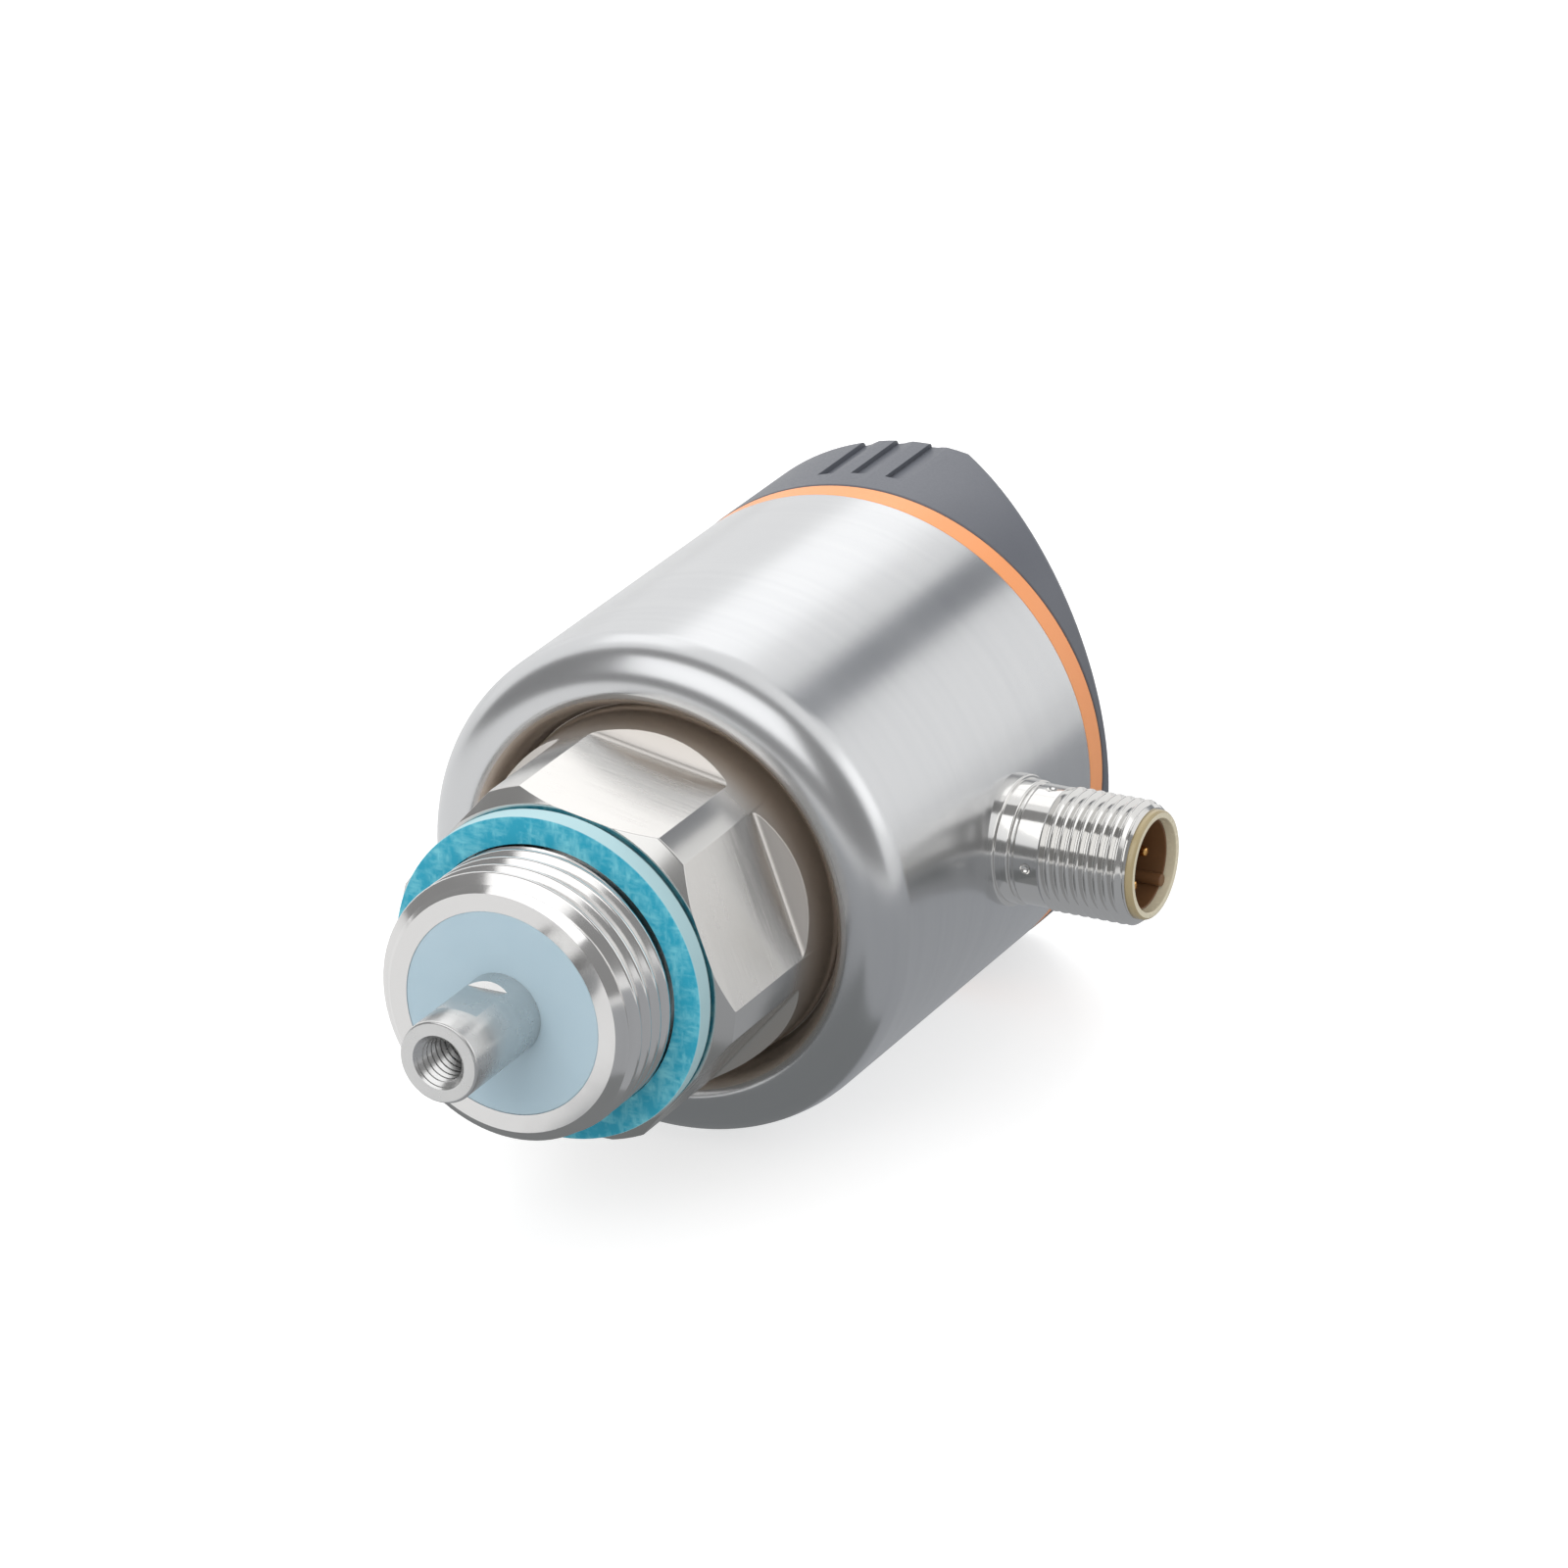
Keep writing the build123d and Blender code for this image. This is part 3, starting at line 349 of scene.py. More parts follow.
def rounded(points, steps=5):
    """Replace each corner given as (u, v, radius) by a short curve through `steps` points."""
    path = []
    count = len(points)
    for i, point in enumerate(points):
        if len(point) < 3 or i in (0, count - 1):
            path.append((point[0], point[1]))
            continue
        here, before, after = Vector(point[:2]), Vector(points[i - 1][:2]), Vector(points[i + 1][:2])
        start = here + (before - here).normalized() * min(point[2], (before - here).length * 0.5)
        end = here + (after - here).normalized() * min(point[2], (after - here).length * 0.5)
        for k in range(steps + 1):
            t = k / steps
            spot = start * (1 - t) ** 2 + here * 2 * t * (1 - t) + end * t ** 2
            path.append((spot.x, spot.y))
    return path


def draw_line(name, path):
    """Draw a line of points (x, y) in mm in the XY plane, one Extrude after another."""
    clear_selection()
    bpy.ops.mesh.primitive_plane_add(size=MM, location=(path[0][0] * MM, path[0][1] * MM, 0))
    piece = bpy.context.object
    piece.name = name
    bpy.ops.object.mode_set(mode="EDIT")
    bpy.ops.mesh.merge(type="CENTER")
    for before, point in zip(path, path[1:]):
        step = ((point[0] - before[0]) * MM, (point[1] - before[1]) * MM, 0)
        bpy.ops.mesh.extrude_region_move(TRANSFORM_OT_translate={"value": step})
    bpy.ops.object.mode_set(mode="OBJECT")
    bpy.ops.object.transform_apply(location=True, rotation=True, scale=True)
    return piece


def tidy(piece, angle=32.0):
    """Merge doubles, point the normals outwards and smooth all but the sharp edges."""
    clear_selection()
    bpy.context.view_layer.objects.active = piece
    piece.select_set(True)
    bpy.ops.object.mode_set(mode="EDIT")
    bpy.ops.mesh.select_all(action="SELECT")
    bpy.ops.mesh.remove_doubles(threshold=MERGE_MM * MM)
    bpy.ops.mesh.normals_make_consistent(inside=False)
    bpy.ops.object.mode_set(mode="OBJECT")
    bpy.ops.object.shade_smooth_by_angle(angle=radians(angle))
    return piece


def turned(name, points, steps):
    """Turn a half profile, given as (radius, height) in mm, round the Y axis."""
    on_axis = points[0][0] == 0 and points[-1][0] == 0
    piece = draw_line(name, rounded(points if on_axis else points + [points[0]]))
    bpy.ops.object.mode_set(mode="EDIT")
    bpy.ops.mesh.select_all(action="SELECT")
    bpy.ops.mesh.spin(steps=steps, angle=2 * pi, center=(0, 0, 0), axis=(0, 1, 0))
    bpy.ops.object.mode_set(mode="OBJECT")
    return tidy(piece)


def prism(name, outline, low, high):
    """Draw a closed outline in the XY plane and extrude it along Z, all in mm."""
    piece = draw_line(name, rounded(outline + [outline[0]]))
    bpy.ops.object.mode_set(mode="EDIT")
    bpy.ops.mesh.select_all(action="SELECT")
    bpy.ops.mesh.remove_doubles(threshold=FINE_MERGE_MM * MM)
    bpy.ops.mesh.edge_face_add()
    bpy.ops.transform.translate(value=(0, 0, low * MM))
    bpy.ops.mesh.extrude_region_move(TRANSFORM_OT_translate={"value": (0, 0, (high - low) * MM)})
    bpy.ops.mesh.select_all(action="SELECT")
    bpy.ops.mesh.normals_make_consistent(inside=False)
    bpy.ops.object.mode_set(mode="OBJECT")
    return piece


def place(piece, origin=(0, 0, 0), x_dir=(1, 0, 0), y_dir=(0, 1, 0)):
    """Turn a piece to new directions, move it by an origin in mm, and put that into its mesh."""
    x, y = Vector(x_dir), Vector(y_dir)
    clear_selection()
    bpy.context.view_layer.objects.active = piece
    piece.select_set(True)
    piece.matrix_world = (Matrix.Translation(Vector(origin) * MM)
                          @ Matrix((x, y, x.cross(y))).transposed().to_4x4())
    bpy.ops.object.transform_apply(location=True, rotation=True, scale=True)
    return piece


def cut(piece, cutter, operation="DIFFERENCE"):
    """Boolean with a cutter, which is then thrown away."""
    clear_selection()
    bpy.context.view_layer.objects.active = piece
    piece.select_set(True)
    modifier = piece.modifiers.new("cut", "BOOLEAN")
    modifier.operation = operation
    modifier.solver = "EXACT"
    modifier.object = cutter
    bpy.ops.object.modifier_apply(modifier="cut")
    bpy.data.objects.remove(cutter, do_unlink=True)


def ease_edges(piece, width_mm, segments, limit):
    """A small Bevel on every sharp edge."""
    clear_selection()
    bpy.context.view_layer.objects.active = piece
    piece.select_set(True)
    modifier = piece.modifiers.new("edges", "BEVEL")
    modifier.width = width_mm * MM
    modifier.segments = segments
    modifier.limit_method = "ANGLE"
    modifier.angle_limit = radians(limit)
    modifier.use_clamp_overlap = True
    bpy.ops.object.modifier_apply(modifier="edges")


def even_normals(piece):
    """Let the large faces set the normals, so that an eased edge doesn't shade the flat beside it."""
    clear_selection()
    bpy.context.view_layer.objects.active = piece
    piece.select_set(True)
    modifier = piece.modifiers.new("normals", "WEIGHTED_NORMAL")
    modifier.keep_sharp = True
    bpy.ops.object.modifier_apply(modifier="normals")


def put_on(piece, material, body, slot, *nodes):
    """Give a piece its material, the body it rides on and the CAD nodes it stands for. The slot is not used.
    """
    even_normals(piece)
    piece.data.materials.clear()
    piece.data.materials.append(material)
    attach(piece, body)
    if nodes:
        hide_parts(*nodes)
    print(piece.name, len(piece.data.polygons), "faces")


# %% [markdown]
# The housing is one sheet. Its bottom edge rolls round a 4.5 mm radius and comes back up inside
# as a recess round the fitting, so the profile follows the sheet there and back. The inner faces
# of the roll, in the shade of the recess, get the fitting's material there, with its painted warm
# light.

# %% Housing
def with_arc(points, centre_u, centre_v, radius_u, radius_v, start, end, steps):
    """The points, followed by those of an ellipse's arc from one angle to another in degrees."""
    return points + [(centre_u + radius_u * cos(radians(start + (end - start) * k / steps)),
                      centre_v + radius_v * sin(radians(start + (end - start) * k / steps)))
                     for k in range(steps + 1)]


roll_u, floor_hole_r, edge = CAN_R - ROLL_R, STEM_R + 0.1, 0.15
outside = with_arc([(floor_hole_r, up(FLOOR_Y)), (LIP_R - 0.35, up(FLOOR_Y))], roll_u, up(FLOOR_Y),
                   roll_u - LIP_R, FLOOR_Y - CAN_BOTTOM, 188, 270, 14)
outside = with_arc(outside, roll_u, up(CAN_BOTTOM + ROLL_R), ROLL_R, ROLL_R, 276, 360, 14)
outside += [(CAN_R, up(CAN_TOP) - edge), (CAN_R - edge, up(CAN_TOP))]
inside = [(CAN_R - CAN_WALL, up(CAN_TOP)), (CAN_R - CAN_WALL, up(CAN_BOTTOM + ROLL_R)),
          (roll_u, up(CAN_BOTTOM + CAN_WALL)), (LIP_R + CAN_WALL, up(FLOOR_Y + CAN_WALL)),
          (floor_hole_r, up(FLOOR_Y + CAN_WALL))]
housing = turned("housing_shell", outside + inside, steps=160)
put_on(housing, STAINLESS, "housing", "stainless", "can")
housing.data.materials.append(RECESS_PAINTED_LIGHT)
# Painted light: the roll's faces in the shade of the recess get the material with painted warm light.
shaded_r, shaded_end = roll_u - 0.9, up(FLOOR_Y + 0.5)
for face in housing.data.polygons:
    reach = sqrt(face.center.x ** 2 + face.center.z ** 2) / MM
    if reach < shaded_r and face.center.y < shaded_end * MM:
        face.material_index = 1

# %% [markdown]
# The colour ring between housing and head is a plain moulded ring with eased edges.

# %% Colour ring
band_r = CAN_R - 0.02
ring = turned("colour_band", [(RING_BORE_R, up(CAN_TOP)), (band_r, up(CAN_TOP), 0.12),
                              (band_r, up(RING_TOP), 0.15), (RING_BORE_R, up(RING_TOP))], steps=160)
put_on(ring, ORANGE, "housing", "orange_plastic", "colour_ring")

# %% [markdown]
# A thread is one tooth profile carried round the axis and along it. The Screw modifier does
# exactly that: the profile is one pitch high, so each turn joins the next. The ends are then cut
# square with Bisect, which fills them, and a turned blank gives the lead-in chamfer.

# %% Thread helper
def threaded_rod(name, crest_r, depth, pitch, start, end, steps):
    """A solid helical thread from start to end in mm along Y, made as a screw."""
    rise = [(0.0, 0.0), (0.055, 0.02), (0.125, 0.12), (0.375, 0.88), (0.445, 0.98), (0.5, 1.0)]
    teeth = rise + [(1 - part, height) for part, height in reversed(rise[:-1])]
    low = start - 2 * pitch
    path = [(crest_r - depth + depth * height, low + part * pitch) for part, height in teeth]
    piece = draw_line(name, path)
    modifier = piece.modifiers.new("screw", "SCREW")
    modifier.axis = "Y"
    modifier.angle = 2 * pi
    modifier.screw_offset = pitch * MM
    modifier.iterations = int((end - low) / pitch) + 3
    modifier.steps = modifier.render_steps = steps
    modifier.use_merge_vertices = True
    modifier.merge_threshold = FINE_MERGE_MM * MM
    bpy.ops.object.modifier_apply(modifier="screw")
    for height, normal in ((start, (0, -1, 0)), (end, (0, 1, 0))):
        bpy.ops.object.mode_set(mode="EDIT")
        bpy.ops.mesh.select_all(action="SELECT")
        bpy.ops.mesh.remove_doubles(threshold=MERGE_MM * MM)
        bpy.ops.mesh.select_all(action="SELECT")
        bpy.ops.mesh.bisect(plane_co=(0, height * MM, 0), plane_no=normal, use_fill=True, clear_outer=True)
        bpy.ops.object.mode_set(mode="OBJECT")
    return tidy(piece)


# %% [markdown]
# The fitting is made of two turned solids: the threaded end, and the bar behind it with six
# milled flats. The flats stop at a shoulder, so a cutter with the shoulder's shape is extruded,
# copied round the axis and subtracted.

# %% Process fitting
front = up(-THREAD_LENGTH)
thread = threaded_rod("process_thread_body", THREAD_R, THREAD_DEPTH, THREAD_PITCH, front - 0.5, up(-1.6), 72)
blank_r, lead_in, blank_end = THREAD_R + 0.05, 1.35, up(-1.7)
blank = turned("thread_blank", [(BUSH_R, front), (FACE_R, front), (blank_r, front + lead_in),
                                (blank_r, blank_end), (BUSH_R, blank_end)], steps=96)
cut(thread, blank, "INTERSECT")
ease_edges(tidy(thread), 0.06, 1, 60)
put_on(tidy(thread), BRIGHT, "housing", "turned_stainless")

rim_r, rim_end, stem_end, bore_r = 17.9, 22.15, 31.0, 7.0
bar = turned("hexagon_body", [
    (BUSH_R, up(-1.8)), (11.9, up(-1.8)), (11.9, up(0)), (15.6, up(0), 0.1), (15.6, up(0.4)),
    (BAR_R - 1.3, up(0.4), 0.1), (BAR_R, up(1.7), 0.15), (BAR_R, up(20.9), 0.3), (rim_r, up(21.3), 0.2),
    (rim_r, up(rim_end), 0.12), (STEM_R, up(rim_end)), (STEM_R, up(stem_end)), (bore_r, up(stem_end)),
    (bore_r, up(2)), (BUSH_R, up(2))], steps=120)
flat_end, run_out_end, clear_of_bar, half_width = 14.7, 18.6, 19.5, 15
for k in range(6):
    cutter = prism("flat_cutter", [
        (FLAT, up(-0.2)), (FLAT, up(flat_end)), (FLAT + 0.08, up(15.05)), (FLAT + 0.3, up(15.4)),
        (clear_of_bar, up(run_out_end)), (clear_of_bar, up(-0.2))], -half_width, half_width)
    angle = radians(HEX_ANGLE + 60 * k)
    cut(bar, place(cutter, x_dir=(cos(angle), 0, sin(angle))))
ease_edges(tidy(bar, 25), 0.12, 2, 24)
# The bar gets the stainless with painted warm light towards the recess; its flats get the milled finish.
put_on(tidy(bar, 25), RECESS_PAINTED_LIGHT, "housing", "turned_stainless", "process_fitting")
bar.data.materials.append(MILLED)
flats = 0
for face in bar.data.polygons:
    reach = sqrt(face.center.x ** 2 + face.center.z ** 2) / MM
    flat_and_large = abs(face.normal.y) < 0.05 and face.area > 4 * MM * MM
    if flat_and_large and reach < BAR_R - 0.2 and face.center.y < up(flat_end + 1.3) * MM:
        face.material_index = 1
        flats += 1
print("milled faces", flats)

# %% [markdown]
# The gasket is a flat ring cut from fibre sheet. The bush behind it shows as a pale disc.

# %% Gasket and bush
gasket_bore_r = THREAD_R + 0.04
gasket = turned("fibre_gasket", [(gasket_bore_r, up(-GASKET_HEIGHT)), (GASKET_R, up(-GASKET_HEIGHT), 0.12),
                                 (GASKET_R, up(0), 0.12), (gasket_bore_r, up(0))], steps=120)
put_on(gasket, FIBRE, "housing", "fibre", "gasket")
bush = turned("white_bush", [
    (SOCKET_R, front + 2.35), (SOCKET_R, front + 0.05), (BUSH_R - 0.1, front), (BUSH_R, front + 0.1),
    (BUSH_R, up(2.0)), (SOCKET_R, up(2.0))], steps=96)
put_on(bush, PTFE, "housing", "ptfe", "insulator")

# %% [markdown]
# The rod socket is turned, tapped and given two spanner flats. Its tapped hole is a boolean with
# a threaded rod, so the turns inside are real.

# %% Rod socket
tip = up(SOCKET_TIP)
socket = turned("threaded_socket", [
    (0, tip), (SOCKET_R, tip, 0.3), (SOCKET_R, front + 2.3), (0, front + 2.3)], steps=96)
spanner_half, clear_r = 3.45, SOCKET_R + 0.6
for side in (1, -1):
    cutter = prism("spanner_cutter", [(spanner_half, tip + 3.6), (spanner_half, tip + 9.2),
                                      (clear_r, tip + 10.1), (clear_r, tip + 2.7)], -5, 5)
    cut(socket, place(cutter, x_dir=(0, 0, side)))
core_r, tap_r, tap_depth, tap_pitch = 2.1, 2.5, 0.43, 0.8
mouth = turned("mouth_cutter", [(0, tip - 0.5), (core_r + 1.05, tip - 0.5), (core_r, tip + 0.55),
                                (0, tip + 0.55)], steps=72)
cut(socket, mouth)
tap = threaded_rod("tap_cutter", tap_r, tap_depth, tap_pitch, tip - 0.4, tip + 9.5, 60)
cut(socket, tap)
tidy(socket, 30)
put_on(socket, SATIN, "housing", "turned_stainless", "rod_socket")

# %% [markdown]
# The plug points along X. It is turned along Y like the rest and then laid over, so one helper
# turns every piece of it by -90 degrees about Z and moves it to its height.

# %% Plug shell
def lay_along_x(piece, up_mm=0.0, side_mm=0.0):
    """Turn a piece made along Y so that it points along X at the plug's height."""
    return place(piece, (0, up(PLUG_Y) + up_mm, side_mm), x_dir=(0, -1, 0), y_dir=(1, 0, 0))


plug_thread = threaded_rod("plug_thread_body", PLUG_R, 0.6, 1.0, 29.5, 38.95, 72)
crest_r = PLUG_R + 0.02
blank = turned("plug_blank", [(PLUG_BORE_R, 29.8), (5.8, 29.8), (crest_r, 30.3), (crest_r, 38.0), (5.4, 38.8),
                              (PLUG_BORE_R, 38.8)], steps=96)
cut(plug_thread, blank, "INTERSECT")
tidy(plug_thread)
put_on(lay_along_x(plug_thread), NICKEL, "housing", "nickel_brass")
shell = turned("plug_shell_body", [
    (PLUG_BORE_R, 19.5), (5.2, 19.5), (5.2, 23.6), (6.35, 23.6), (6.35, 25.5, 0.15), (PLUG_R, 25.55, 0.05),
    (PLUG_R, 26.8, 0.15), (5.65, 26.9, 0.08), (5.65, 27.25, 0.08), (5.82, 27.4, 0.08), (5.82, 29.95, 0.05),
    (5.3, 30.1), (PLUG_BORE_R, 30.1)], steps=96)
dimple_ring, dimple_x, dimple_r = PLUG_R + 0.05, 28.7, 0.6
for quarter in range(4):
    clear_selection()
    angle = quarter * pi / 2
    middle = Vector((dimple_ring * cos(angle), dimple_x, dimple_ring * sin(angle))) * MM
    bpy.ops.mesh.primitive_uv_sphere_add(segments=20, ring_count=10, radius=dimple_r * MM, location=middle)
    dimple = bpy.context.object
    bpy.ops.object.transform_apply(location=True, rotation=True, scale=True)
    cut(shell, dimple)
tidy(shell, 30)
put_on(lay_along_x(shell), NICKEL, "housing", "nickel_brass", "connector_shell")

# %% [markdown]
# Inside the plug sits a light rim and a dark contact carrier with a coding key and four pins. The
# rim's outer wall stands in the shade of the shell, so it gets a darker copy of the rim's material:
# painted shade.

# %% Plug inside
cavity_r, cavity_floor, pin_r, pin_ring, key_ring = 4.4, 31.0, 0.5, 2.5, 3.95
rim = turned("plug_light_rim", [
    (cavity_r, 36.0), (PLUG_BORE_R, 36.0), (PLUG_BORE_R, 38.7), (5.25, 38.7), (5.25, 39.25, 0.15),
    (5.05, PLUG_END, 0.12), (cavity_r + 0.1, PLUG_END, 0.12)], steps=96)
put_on(lay_along_x(rim), IVORY, "housing", "light_insert", "connector_sleeve")
rim.data.materials.append(SHADED_IVORY)
# Painted shade: faces turned outwards get the darker copy of the rim's material.
for face in rim.data.polygons:
    outward = Vector((0, face.center.y - up(PLUG_Y) * MM, face.center.z))
    if face.normal.dot(outward.normalized()) > 0.3:
        face.material_index = 1
carrier = turned("contact_carrier", [(0, 30.0), (cavity_r, 30.0), (cavity_r, 38.5), (4.25, 38.5, 0.1),
                                     (4.1, cavity_floor), (0, cavity_floor)], steps=96)
put_on(lay_along_x(carrier), BROWN, "housing", "brown_insert", "connector_insert")
key = turned("coding_key", [(0, cavity_floor), (0.6, cavity_floor), (0.6, 38.8, 0.15), (0, 38.8)], steps=32)
lay_along_x(key, key_ring * cos(radians(-45)), key_ring * sin(radians(-45)))
put_on(key, BROWN, "housing", "brown_insert")
for number in range(4):
    pin = turned(f"contact_{number + 1}", [(0, 20.0), (pin_r, 20.0), (pin_r, 37.4, 0.45), (0, 37.4)],
                 steps=24)
    angle = number * pi / 2
    lay_along_x(pin, pin_ring * cos(angle), pin_ring * sin(angle))
    put_on(pin, GOLD, "housing", "gold_contact", f"connector_pin_{number + 1}")

# %% [markdown]
# The head is one moulded shell: a round cap with a flat top and one slope for the display. It is
# turned as a solid, cut by the slope with Bisect, its edges are rounded, and then it is hollowed
# by a smaller copy of the same shape. The head stands turned by eight degrees about the axis.

# %% Head shell
S_DIR = Vector((cos(radians(HEAD_TURN)), 0, sin(radians(HEAD_TURN))))
T_DIR = Vector((sin(radians(HEAD_TURN)), 0, -cos(radians(HEAD_TURN))))
OUTWARD = S_DIR * sin(radians(SLOPE)) + Vector((0, 1, 0)) * cos(radians(SLOPE))
UP_SLOPE = OUTWARD.cross(T_DIR)
slope_mid = 0.5 * (SLOPE_START + HEAD_R)
slope_drop = (slope_mid - SLOPE_START) * tan(radians(SLOPE))
slope_point = S_DIR * slope_mid + Vector((0, up(HEAD_TOP) - slope_drop, 0))


def cut_by_slope(piece, depth):
    """Take away all that lies outside the slope, moved in by a depth in mm."""
    clear_selection()
    bpy.context.view_layer.objects.active = piece
    piece.select_set(True)
    bpy.ops.object.mode_set(mode="EDIT")
    bpy.ops.mesh.select_all(action="SELECT")
    bpy.ops.mesh.bisect(plane_co=(slope_point - OUTWARD * depth) * MM, plane_no=OUTWARD, use_fill=True,
                        clear_outer=True)
    bpy.ops.object.mode_set(mode="OBJECT")
    return tidy(piece)


cap = turned("head_shell", [(0, up(HEAD_BOTTOM)), (HEAD_R, up(HEAD_BOTTOM), 0.2), (HEAD_R, up(HEAD_TOP)),
                            (0, up(HEAD_TOP))], steps=144)
ease_edges(cut_by_slope(cap, 0), 0.6, 3, 25)
mouth_r, hollow_r, slope_wall, ceiling = 22.0, 23.0, 1.6, up(HEAD_TOP) - 1.8
inside = turned("head_hollow", [
    (0, up(HEAD_BOTTOM) - 1), (mouth_r, up(HEAD_BOTTOM) - 1), (mouth_r, up(HEAD_BOTTOM) + 1),
    (hollow_r, up(HEAD_BOTTOM) + 1), (hollow_r, ceiling), (0, ceiling)], steps=96)
cut(cap, cut_by_slope(inside, slope_wall))
print("head shell hollowed", len(cap.data.polygons), "faces")

# %% [markdown]
# Each side of the head has three finger grips. A grip is a groove like a saw tooth: one sharp
# wall, then a gentle ramp back to the surface. The cutter is a thin wedge, open at the top edge.

# %% Finger grips
def at_angle(radius, degrees_round):
    """A point of the head's round wall, as (s, t) in mm."""
    return radius * cos(radians(degrees_round)), radius * sin(radians(degrees_round))


grip_step, grip_width, foot_width = 8.6, 4.6, 1.6
wall_foot_r, ramp_foot_r, outer_r = HEAD_R - 0.5, HEAD_R - 0.42, HEAD_R + 0.8
for side in (1, -1):
    for k in (-1, 0, 1):
        wall = side * 90 + k * grip_step
        ramp = wall - side * grip_width
        outline = [at_angle(wall_foot_r, wall), at_angle(outer_r, wall), at_angle(outer_r, ramp),
                   at_angle(HEAD_R, ramp), at_angle(ramp_foot_r, wall - side * foot_width)]
        cutter = prism("grip_cutter", outline, up(66.0), up(77.0))
        cut(cap, place(cutter, x_dir=S_DIR, y_dir=T_DIR))
print("grips cut", len(cap.data.polygons), "faces")

# %% [markdown]
# The slope has a seat for the window, an opening behind it, and the flat top has two key holes.

# %% Window seat and key holes
def box_outline(width, height, corner=0.0):
    """The outline of a plate about its middle; a corner radius is rounded by extra points."""
    x, y = width / 2, height / 2
    if not corner:
        return [(-x, -y), (x, -y), (x, y), (-x, y)]
    points = []
    for sign_x, sign_y, start in ((1, -1, -90), (1, 1, 0), (-1, 1, 90), (-1, -1, 180)):
        for k in range(7):
            angle = radians(start + 15 * k)
            points.append((sign_x * (x - corner) + corner * cos(angle),
                           sign_y * (y - corner) + corner * sin(angle)))
    return points


def on_slope(piece, across=0.0, along=0.0):
    """Put a piece drawn about the origin on the slope, at a place across and up it in mm."""
    return place(piece, slope_point + T_DIR * across + UP_SLOPE * along, T_DIR, UP_SLOPE)


SEAT_WIDTH, SEAT_HEIGHT, SEAT_CORNER, SEAT_DEPTH, KEY_R = 26.0, 9.0, 1.5, 1.2, 3.0
seat = prism("seat_cutter", box_outline(SEAT_WIDTH, SEAT_HEIGHT, SEAT_CORNER), -SEAT_DEPTH, 2.0)
cut(cap, on_slope(seat, along=DISPLAY_UP))
view = prism("view_cutter", box_outline(SEAT_WIDTH - 3.0, SEAT_HEIGHT - 2.0), -3.0, 2.0)
cut(cap, on_slope(view, along=DISPLAY_UP))
hole_r = KEY_R + 0.08
for side in (1, -1):
    hole = turned("key_hole_cutter", [(0, up(70)), (hole_r, up(70)), (hole_r, up(78)), (0, up(78))],
                  steps=48)
    cut(cap, place(hole, S_DIR * KEY_ALONG + T_DIR * side * KEY_ACROSS))
put_on(tidy(cap, 30), GREY, "head", "grey_plastic", "head_cap")

# %% [markdown]
# The window is a clear plate with a dark tint, flush with the slope. Behind it the display face
# carries four digits of seven unlit segments. The sensor has no power on it, so the segments only
# show as slightly paler bars.

# %% Window and digits
glass = box_outline(SEAT_WIDTH - 0.1, SEAT_HEIGHT - 0.1, SEAT_CORNER - 0.05)
window = on_slope(prism("display_glass", glass, -SEAT_DEPTH, -0.02), along=DISPLAY_UP)
ease_edges(window, 0.15, 2, 40)
put_on(tidy(window), WINDOW, "head", "window", "display_window")
BAR_LONG, BAR_WIDE, DIGIT_STEP = 1.9, 0.36, 4.6
row_step, column_off = BAR_LONG + 0.15, 0.5 * BAR_LONG + 0.1
segments = []
for digit in range(4):
    middle = (digit - 1.5) * DIGIT_STEP
    for row in (-1, 0, 1):
        segments.append((middle, row * row_step, BAR_LONG, BAR_WIDE))
    for column in (-1, 1):
        for row in (-0.5, 0.5):
            segments.append((middle + column * column_off, row * row_step, BAR_WIDE, BAR_LONG - 0.3))
bars = []
for across_mm, along_mm, wide, high in segments:
    segment = prism("segment", box_outline(wide, high), -1.62, -1.5)
    bars.append(on_slope(segment, across_mm, DISPLAY_UP + along_mm))
clear_selection()
for segment in bars:
    segment.select_set(True)
bpy.context.view_layer.objects.active = bars[0]
bpy.ops.object.join()
digits = bpy.context.object
digits.name = "display_digits"
put_on(tidy(digits), SEGMENT, "head", "display")

# %% [markdown]
# The two keys are round, slightly crowned and stand 0.6 mm proud of the top. They are held from
# behind by a flange, and each one moves on its own.

# %% Keys
top, flange_r, proud = up(HEAD_TOP), KEY_R + 0.7, 0.6
for number, side in enumerate((1, -1)):
    key = turned(f"key_{number + 1}", [
        (0, top - 2.6), (flange_r, top - 2.6), (flange_r, top - 1.8), (KEY_R, top - 1.8),
        (KEY_R, top + proud, 0.4), (1.6, top + proud, 0.3), (0, top + proud - 0.1)], steps=48)
    place(key, S_DIR * KEY_ALONG + T_DIR * side * KEY_ACROSS)
    put_on(key, KEYTOP, f"button_{number + 1}", "black_plastic", f"button_{number + 1}")

# %% [markdown]
# Everything else is hidden inside. Those nodes keep the shape of the CAD and get the material of
# their slot in the record.

# %% Materials of the inner parts
SLOT_MATERIAL = {
    "stainless": STAINLESS, "turned_stainless": TURNED, "nickel_brass": NICKEL, "zinc_steel": ZINC,
    "gold_contact": GOLD, "fibre": FIBRE, "ptfe": PTFE, "seal_rubber": RUBBER, "grey_plastic": GREY,
    "black_plastic": BLACK, "orange_plastic": ORANGE, "light_insert": IVORY, "brown_insert": BROWN,
    "board": BOARD, "window": WINDOW, "display": DISPLAY}
for part in frame["record"]["subparts"]:
    kept = frame["nodes"][part["node"]]
    kept.data.materials.clear()
    kept.data.materials.append(SLOT_MATERIAL[part["material_slot"]])

# %% [markdown]
# The floor is pale paper that runs off to white, as in a light tent. For the camera it glows a
# little, so that its bare part is white and the shadow of the sensor stays soft. Mirrors see the
# same glow at a third of its strength, and a white world above it. Everything else gets plain even
# light.

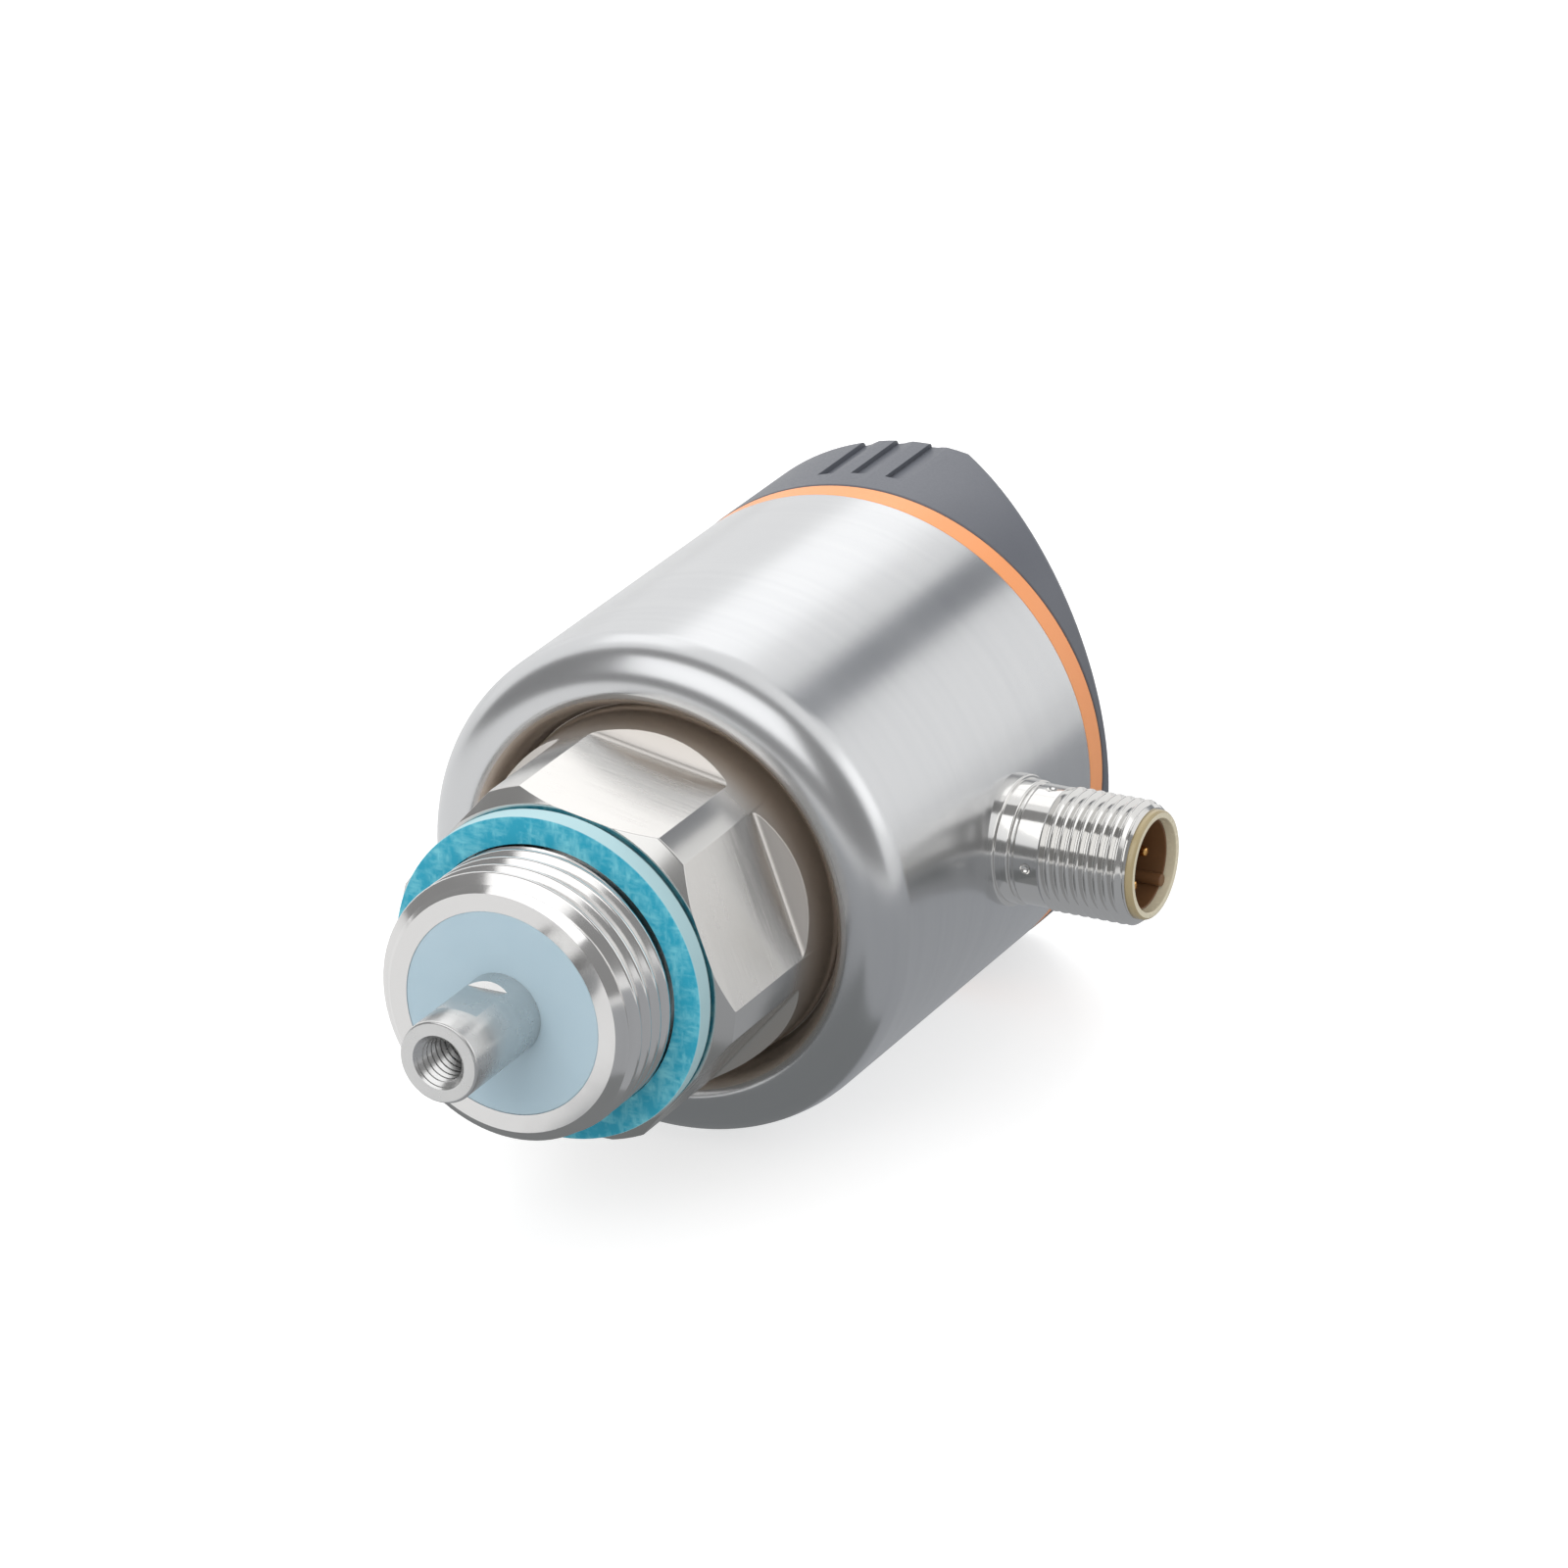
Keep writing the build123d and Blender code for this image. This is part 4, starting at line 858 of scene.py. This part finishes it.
# %% Floor and world
def seen_or_mirrored(tree, mirrored=1.0):
    """1 for rays from the camera, a share for those that come by a mirror or through glass, else 0."""
    rays = node(tree, "ShaderNodeLightPath")
    bounced = node(tree, "ShaderNodeMath", {"operation": "MAXIMUM"},
                   {0: rays.outputs["Is Glossy Ray"], 1: rays.outputs["Is Transmission Ray"]})
    share = node(tree, "ShaderNodeMath", {"operation": "MULTIPLY"}, {0: bounced.outputs[0]})
    share.inputs[1].default_value = mirrored
    return node(tree, "ShaderNodeMath", {"operation": "MAXIMUM"},
                {0: rays.outputs["Is Camera Ray"], 1: share.outputs[0]}).outputs[0]


FLOOR_Z, GLOW, MIRRORED_GLOW, PLAIN_LIGHT = -0.0252, 0.62, 0.35, 0.78
clear_selection()
bpy.ops.mesh.primitive_grid_add(x_subdivisions=8, y_subdivisions=8, size=8.0, location=(0, 0, FLOOR_Z))
floor = bpy.context.object
floor.name = "floor"
floor_material, tree, shader = principled("white_paper_floor", "#C8C8C8", 0.0, 0.9)
floor.data.materials.append(floor_material)
glow = node(tree, "ShaderNodeMath", {"operation": "MULTIPLY"}, {0: seen_or_mirrored(tree, MIRRORED_GLOW)})
glow.inputs[1].default_value = GLOW
tree.links.new(glow.outputs[0], shader.inputs["Emission Strength"])
shader.inputs["Emission Color"].default_value = colour("#FFFFFF")

world = bpy.data.worlds.new("studio")
bpy.context.scene.world = world
world.use_nodes = True
tree = world.node_tree
level = node(tree, "ShaderNodeMapRange", links={"Value": seen_or_mirrored(tree)}, To_Min=PLAIN_LIGHT,
             To_Max=1.0)
tree.links.new(level.outputs[0], tree.nodes["Background"].inputs["Strength"])
tree.nodes["Background"].inputs["Color"].default_value = colour("#FFFFFF")
bpy.context.scene.view_settings.view_transform = "Standard"
print("floor at", FLOOR_Z, "m, world", world.name)

# %% [markdown]
# Two soft lamps give the light its direction: one above and behind, one in front. What the metal
# shows is set apart from that, as a photographer does it, with cards that only mirrors see. Behind
# the sensor is the white tent with bright panels at the rear, overhead and at the right, and one
# dark strip between them. On the camera's side is the dark room with one more bright panel overhead.
# A grey card that only mirrors see paints the sensor's shadow on the floor on its right, a darker one the
# shade just under it.

# %% Lamps and cards
AIM, CARD_Z = Vector((0, 0.03, 0)), FLOOR_Z + 0.0003


def lamp(name, place_m, width, height, power):
    """A soft lamp that looks at the sensor. Mirrors see the cards in its stead."""
    data = bpy.data.lights.new(name, "AREA")
    data.shape = "RECTANGLE"
    data.size, data.size_y = width, height
    data.energy = power
    made = bpy.data.objects.new(name, data)
    made.location = place_m
    made.rotation_euler = (AIM - Vector(place_m)).to_track_quat("-Z", "Y").to_euler()
    made.visible_glossy = False
    bpy.context.scene.collection.objects.link(made)


def only_mirrors(made, shade, strength=1.0):
    """Give a card an even shade of its own and hide it from all but mirrors."""
    made.visible_camera = made.visible_shadow = made.visible_diffuse = False
    board, tree, shader = principled(made.name + "_board", "#101010", 0.0, 1.0)
    shader.inputs["Specular IOR Level"].default_value = 0.0
    shader.inputs["Emission Color"].default_value = colour(shade)
    shader.inputs["Emission Strength"].default_value = strength
    made.data.materials.append(board)


def card(name, middle, width, height, shade, strength=1.0, facing=None):
    """A card that only mirrors see, at a place in metres, facing the sensor or a given way."""
    away = (Vector(facing) * -1 if facing else Vector(middle) - AIM).normalized()
    across = Vector((0, 1, 0)).cross(away).normalized()
    clear_selection()
    bpy.ops.mesh.primitive_grid_add(x_subdivisions=2, y_subdivisions=2, size=1.0)
    made = bpy.context.object
    made.name = name
    made.matrix_world = (Matrix.Translation(Vector(middle))
                         @ Matrix((across, away.cross(across), away)).transposed().to_4x4()
                         @ Matrix.Diagonal((width, height, 1, 1)))
    only_mirrors(made, shade, strength)


lamp("rear_lamp", AIM + 0.9 * Vector((-0.35, 0.45, 0.82)), 0.6, 0.6, 2.6)
lamp("front_lamp", (-0.1, -0.9, 0.7), 0.8, 0.8, 4.0)
card("rear_panel", AIM + 0.6 * Vector((-0.25, 0.80, 0.54)), 0.22, 0.36, "#FFFFFF", 1.42)
card("upper_panel", AIM + 0.7 * Vector((-0.50, 0.40, 0.77)), 0.34, 0.30, "#FFFFFF", 1.4)
card("side_panel", AIM + 0.8 * Vector((0.84, 0.33, 0.42)), 0.40, 0.36, "#FFFFFF", 1.45)
card("dark_strip", AIM + 0.6 * Vector((0.25, 0.80, 0.545)), 0.12, 0.5, "#888B90")
card("front_panel", AIM + 0.8 * Vector((-0.05, -0.70, 0.71)), 0.95, 0.64, "#FFFFFF", 1.45)
# Painted shadow: grey cards on the floor where the sensor shades it, seen only by mirrors.
card("painted_floor_shadow", (0.10, 0.02, CARD_Z), 0.22, 0.40, "#A6A8AB", facing=(0, 0, 1))
card("painted_contact_shadow", (0.006, 0.008, CARD_Z + 0.0001), 0.055, 0.045, "#808283", facing=(0, 0, 1))

# %% [markdown]
# The dark room is a short tunnel round the camera's side, closed at its far end. It starts level
# with the process thread, so rounded edges show a dark line where they turn to the front.

# %% Dark room
clear_selection()
ROOM_LENGTH, ROOM_R = 1.4, 1.1
bpy.ops.mesh.primitive_cylinder_add(vertices=48, radius=ROOM_R, depth=ROOM_LENGTH, end_fill_type="NGON",
                                    location=(0, -0.5 * ROOM_LENGTH, 0), rotation=(radians(90), 0, 0))
room = bpy.context.object
room.name = "dark_room"
bpy.ops.object.mode_set(mode="EDIT")
bpy.ops.mesh.select_all(action="DESELECT")
bpy.ops.object.mode_set(mode="OBJECT")
for face in room.data.polygons:
    face.select = len(face.vertices) > 4 and face.normal.z < 0
bpy.ops.object.mode_set(mode="EDIT")
bpy.ops.mesh.delete(type="FACE")
bpy.ops.object.mode_set(mode="OBJECT")
open_side = room.matrix_world.to_3x3() @ Vector((0, 0, -1))
print("dark room has", len(room.data.polygons), "faces, open towards", tuple(round(c) for c in open_side))
only_mirrors(room, "#929292")
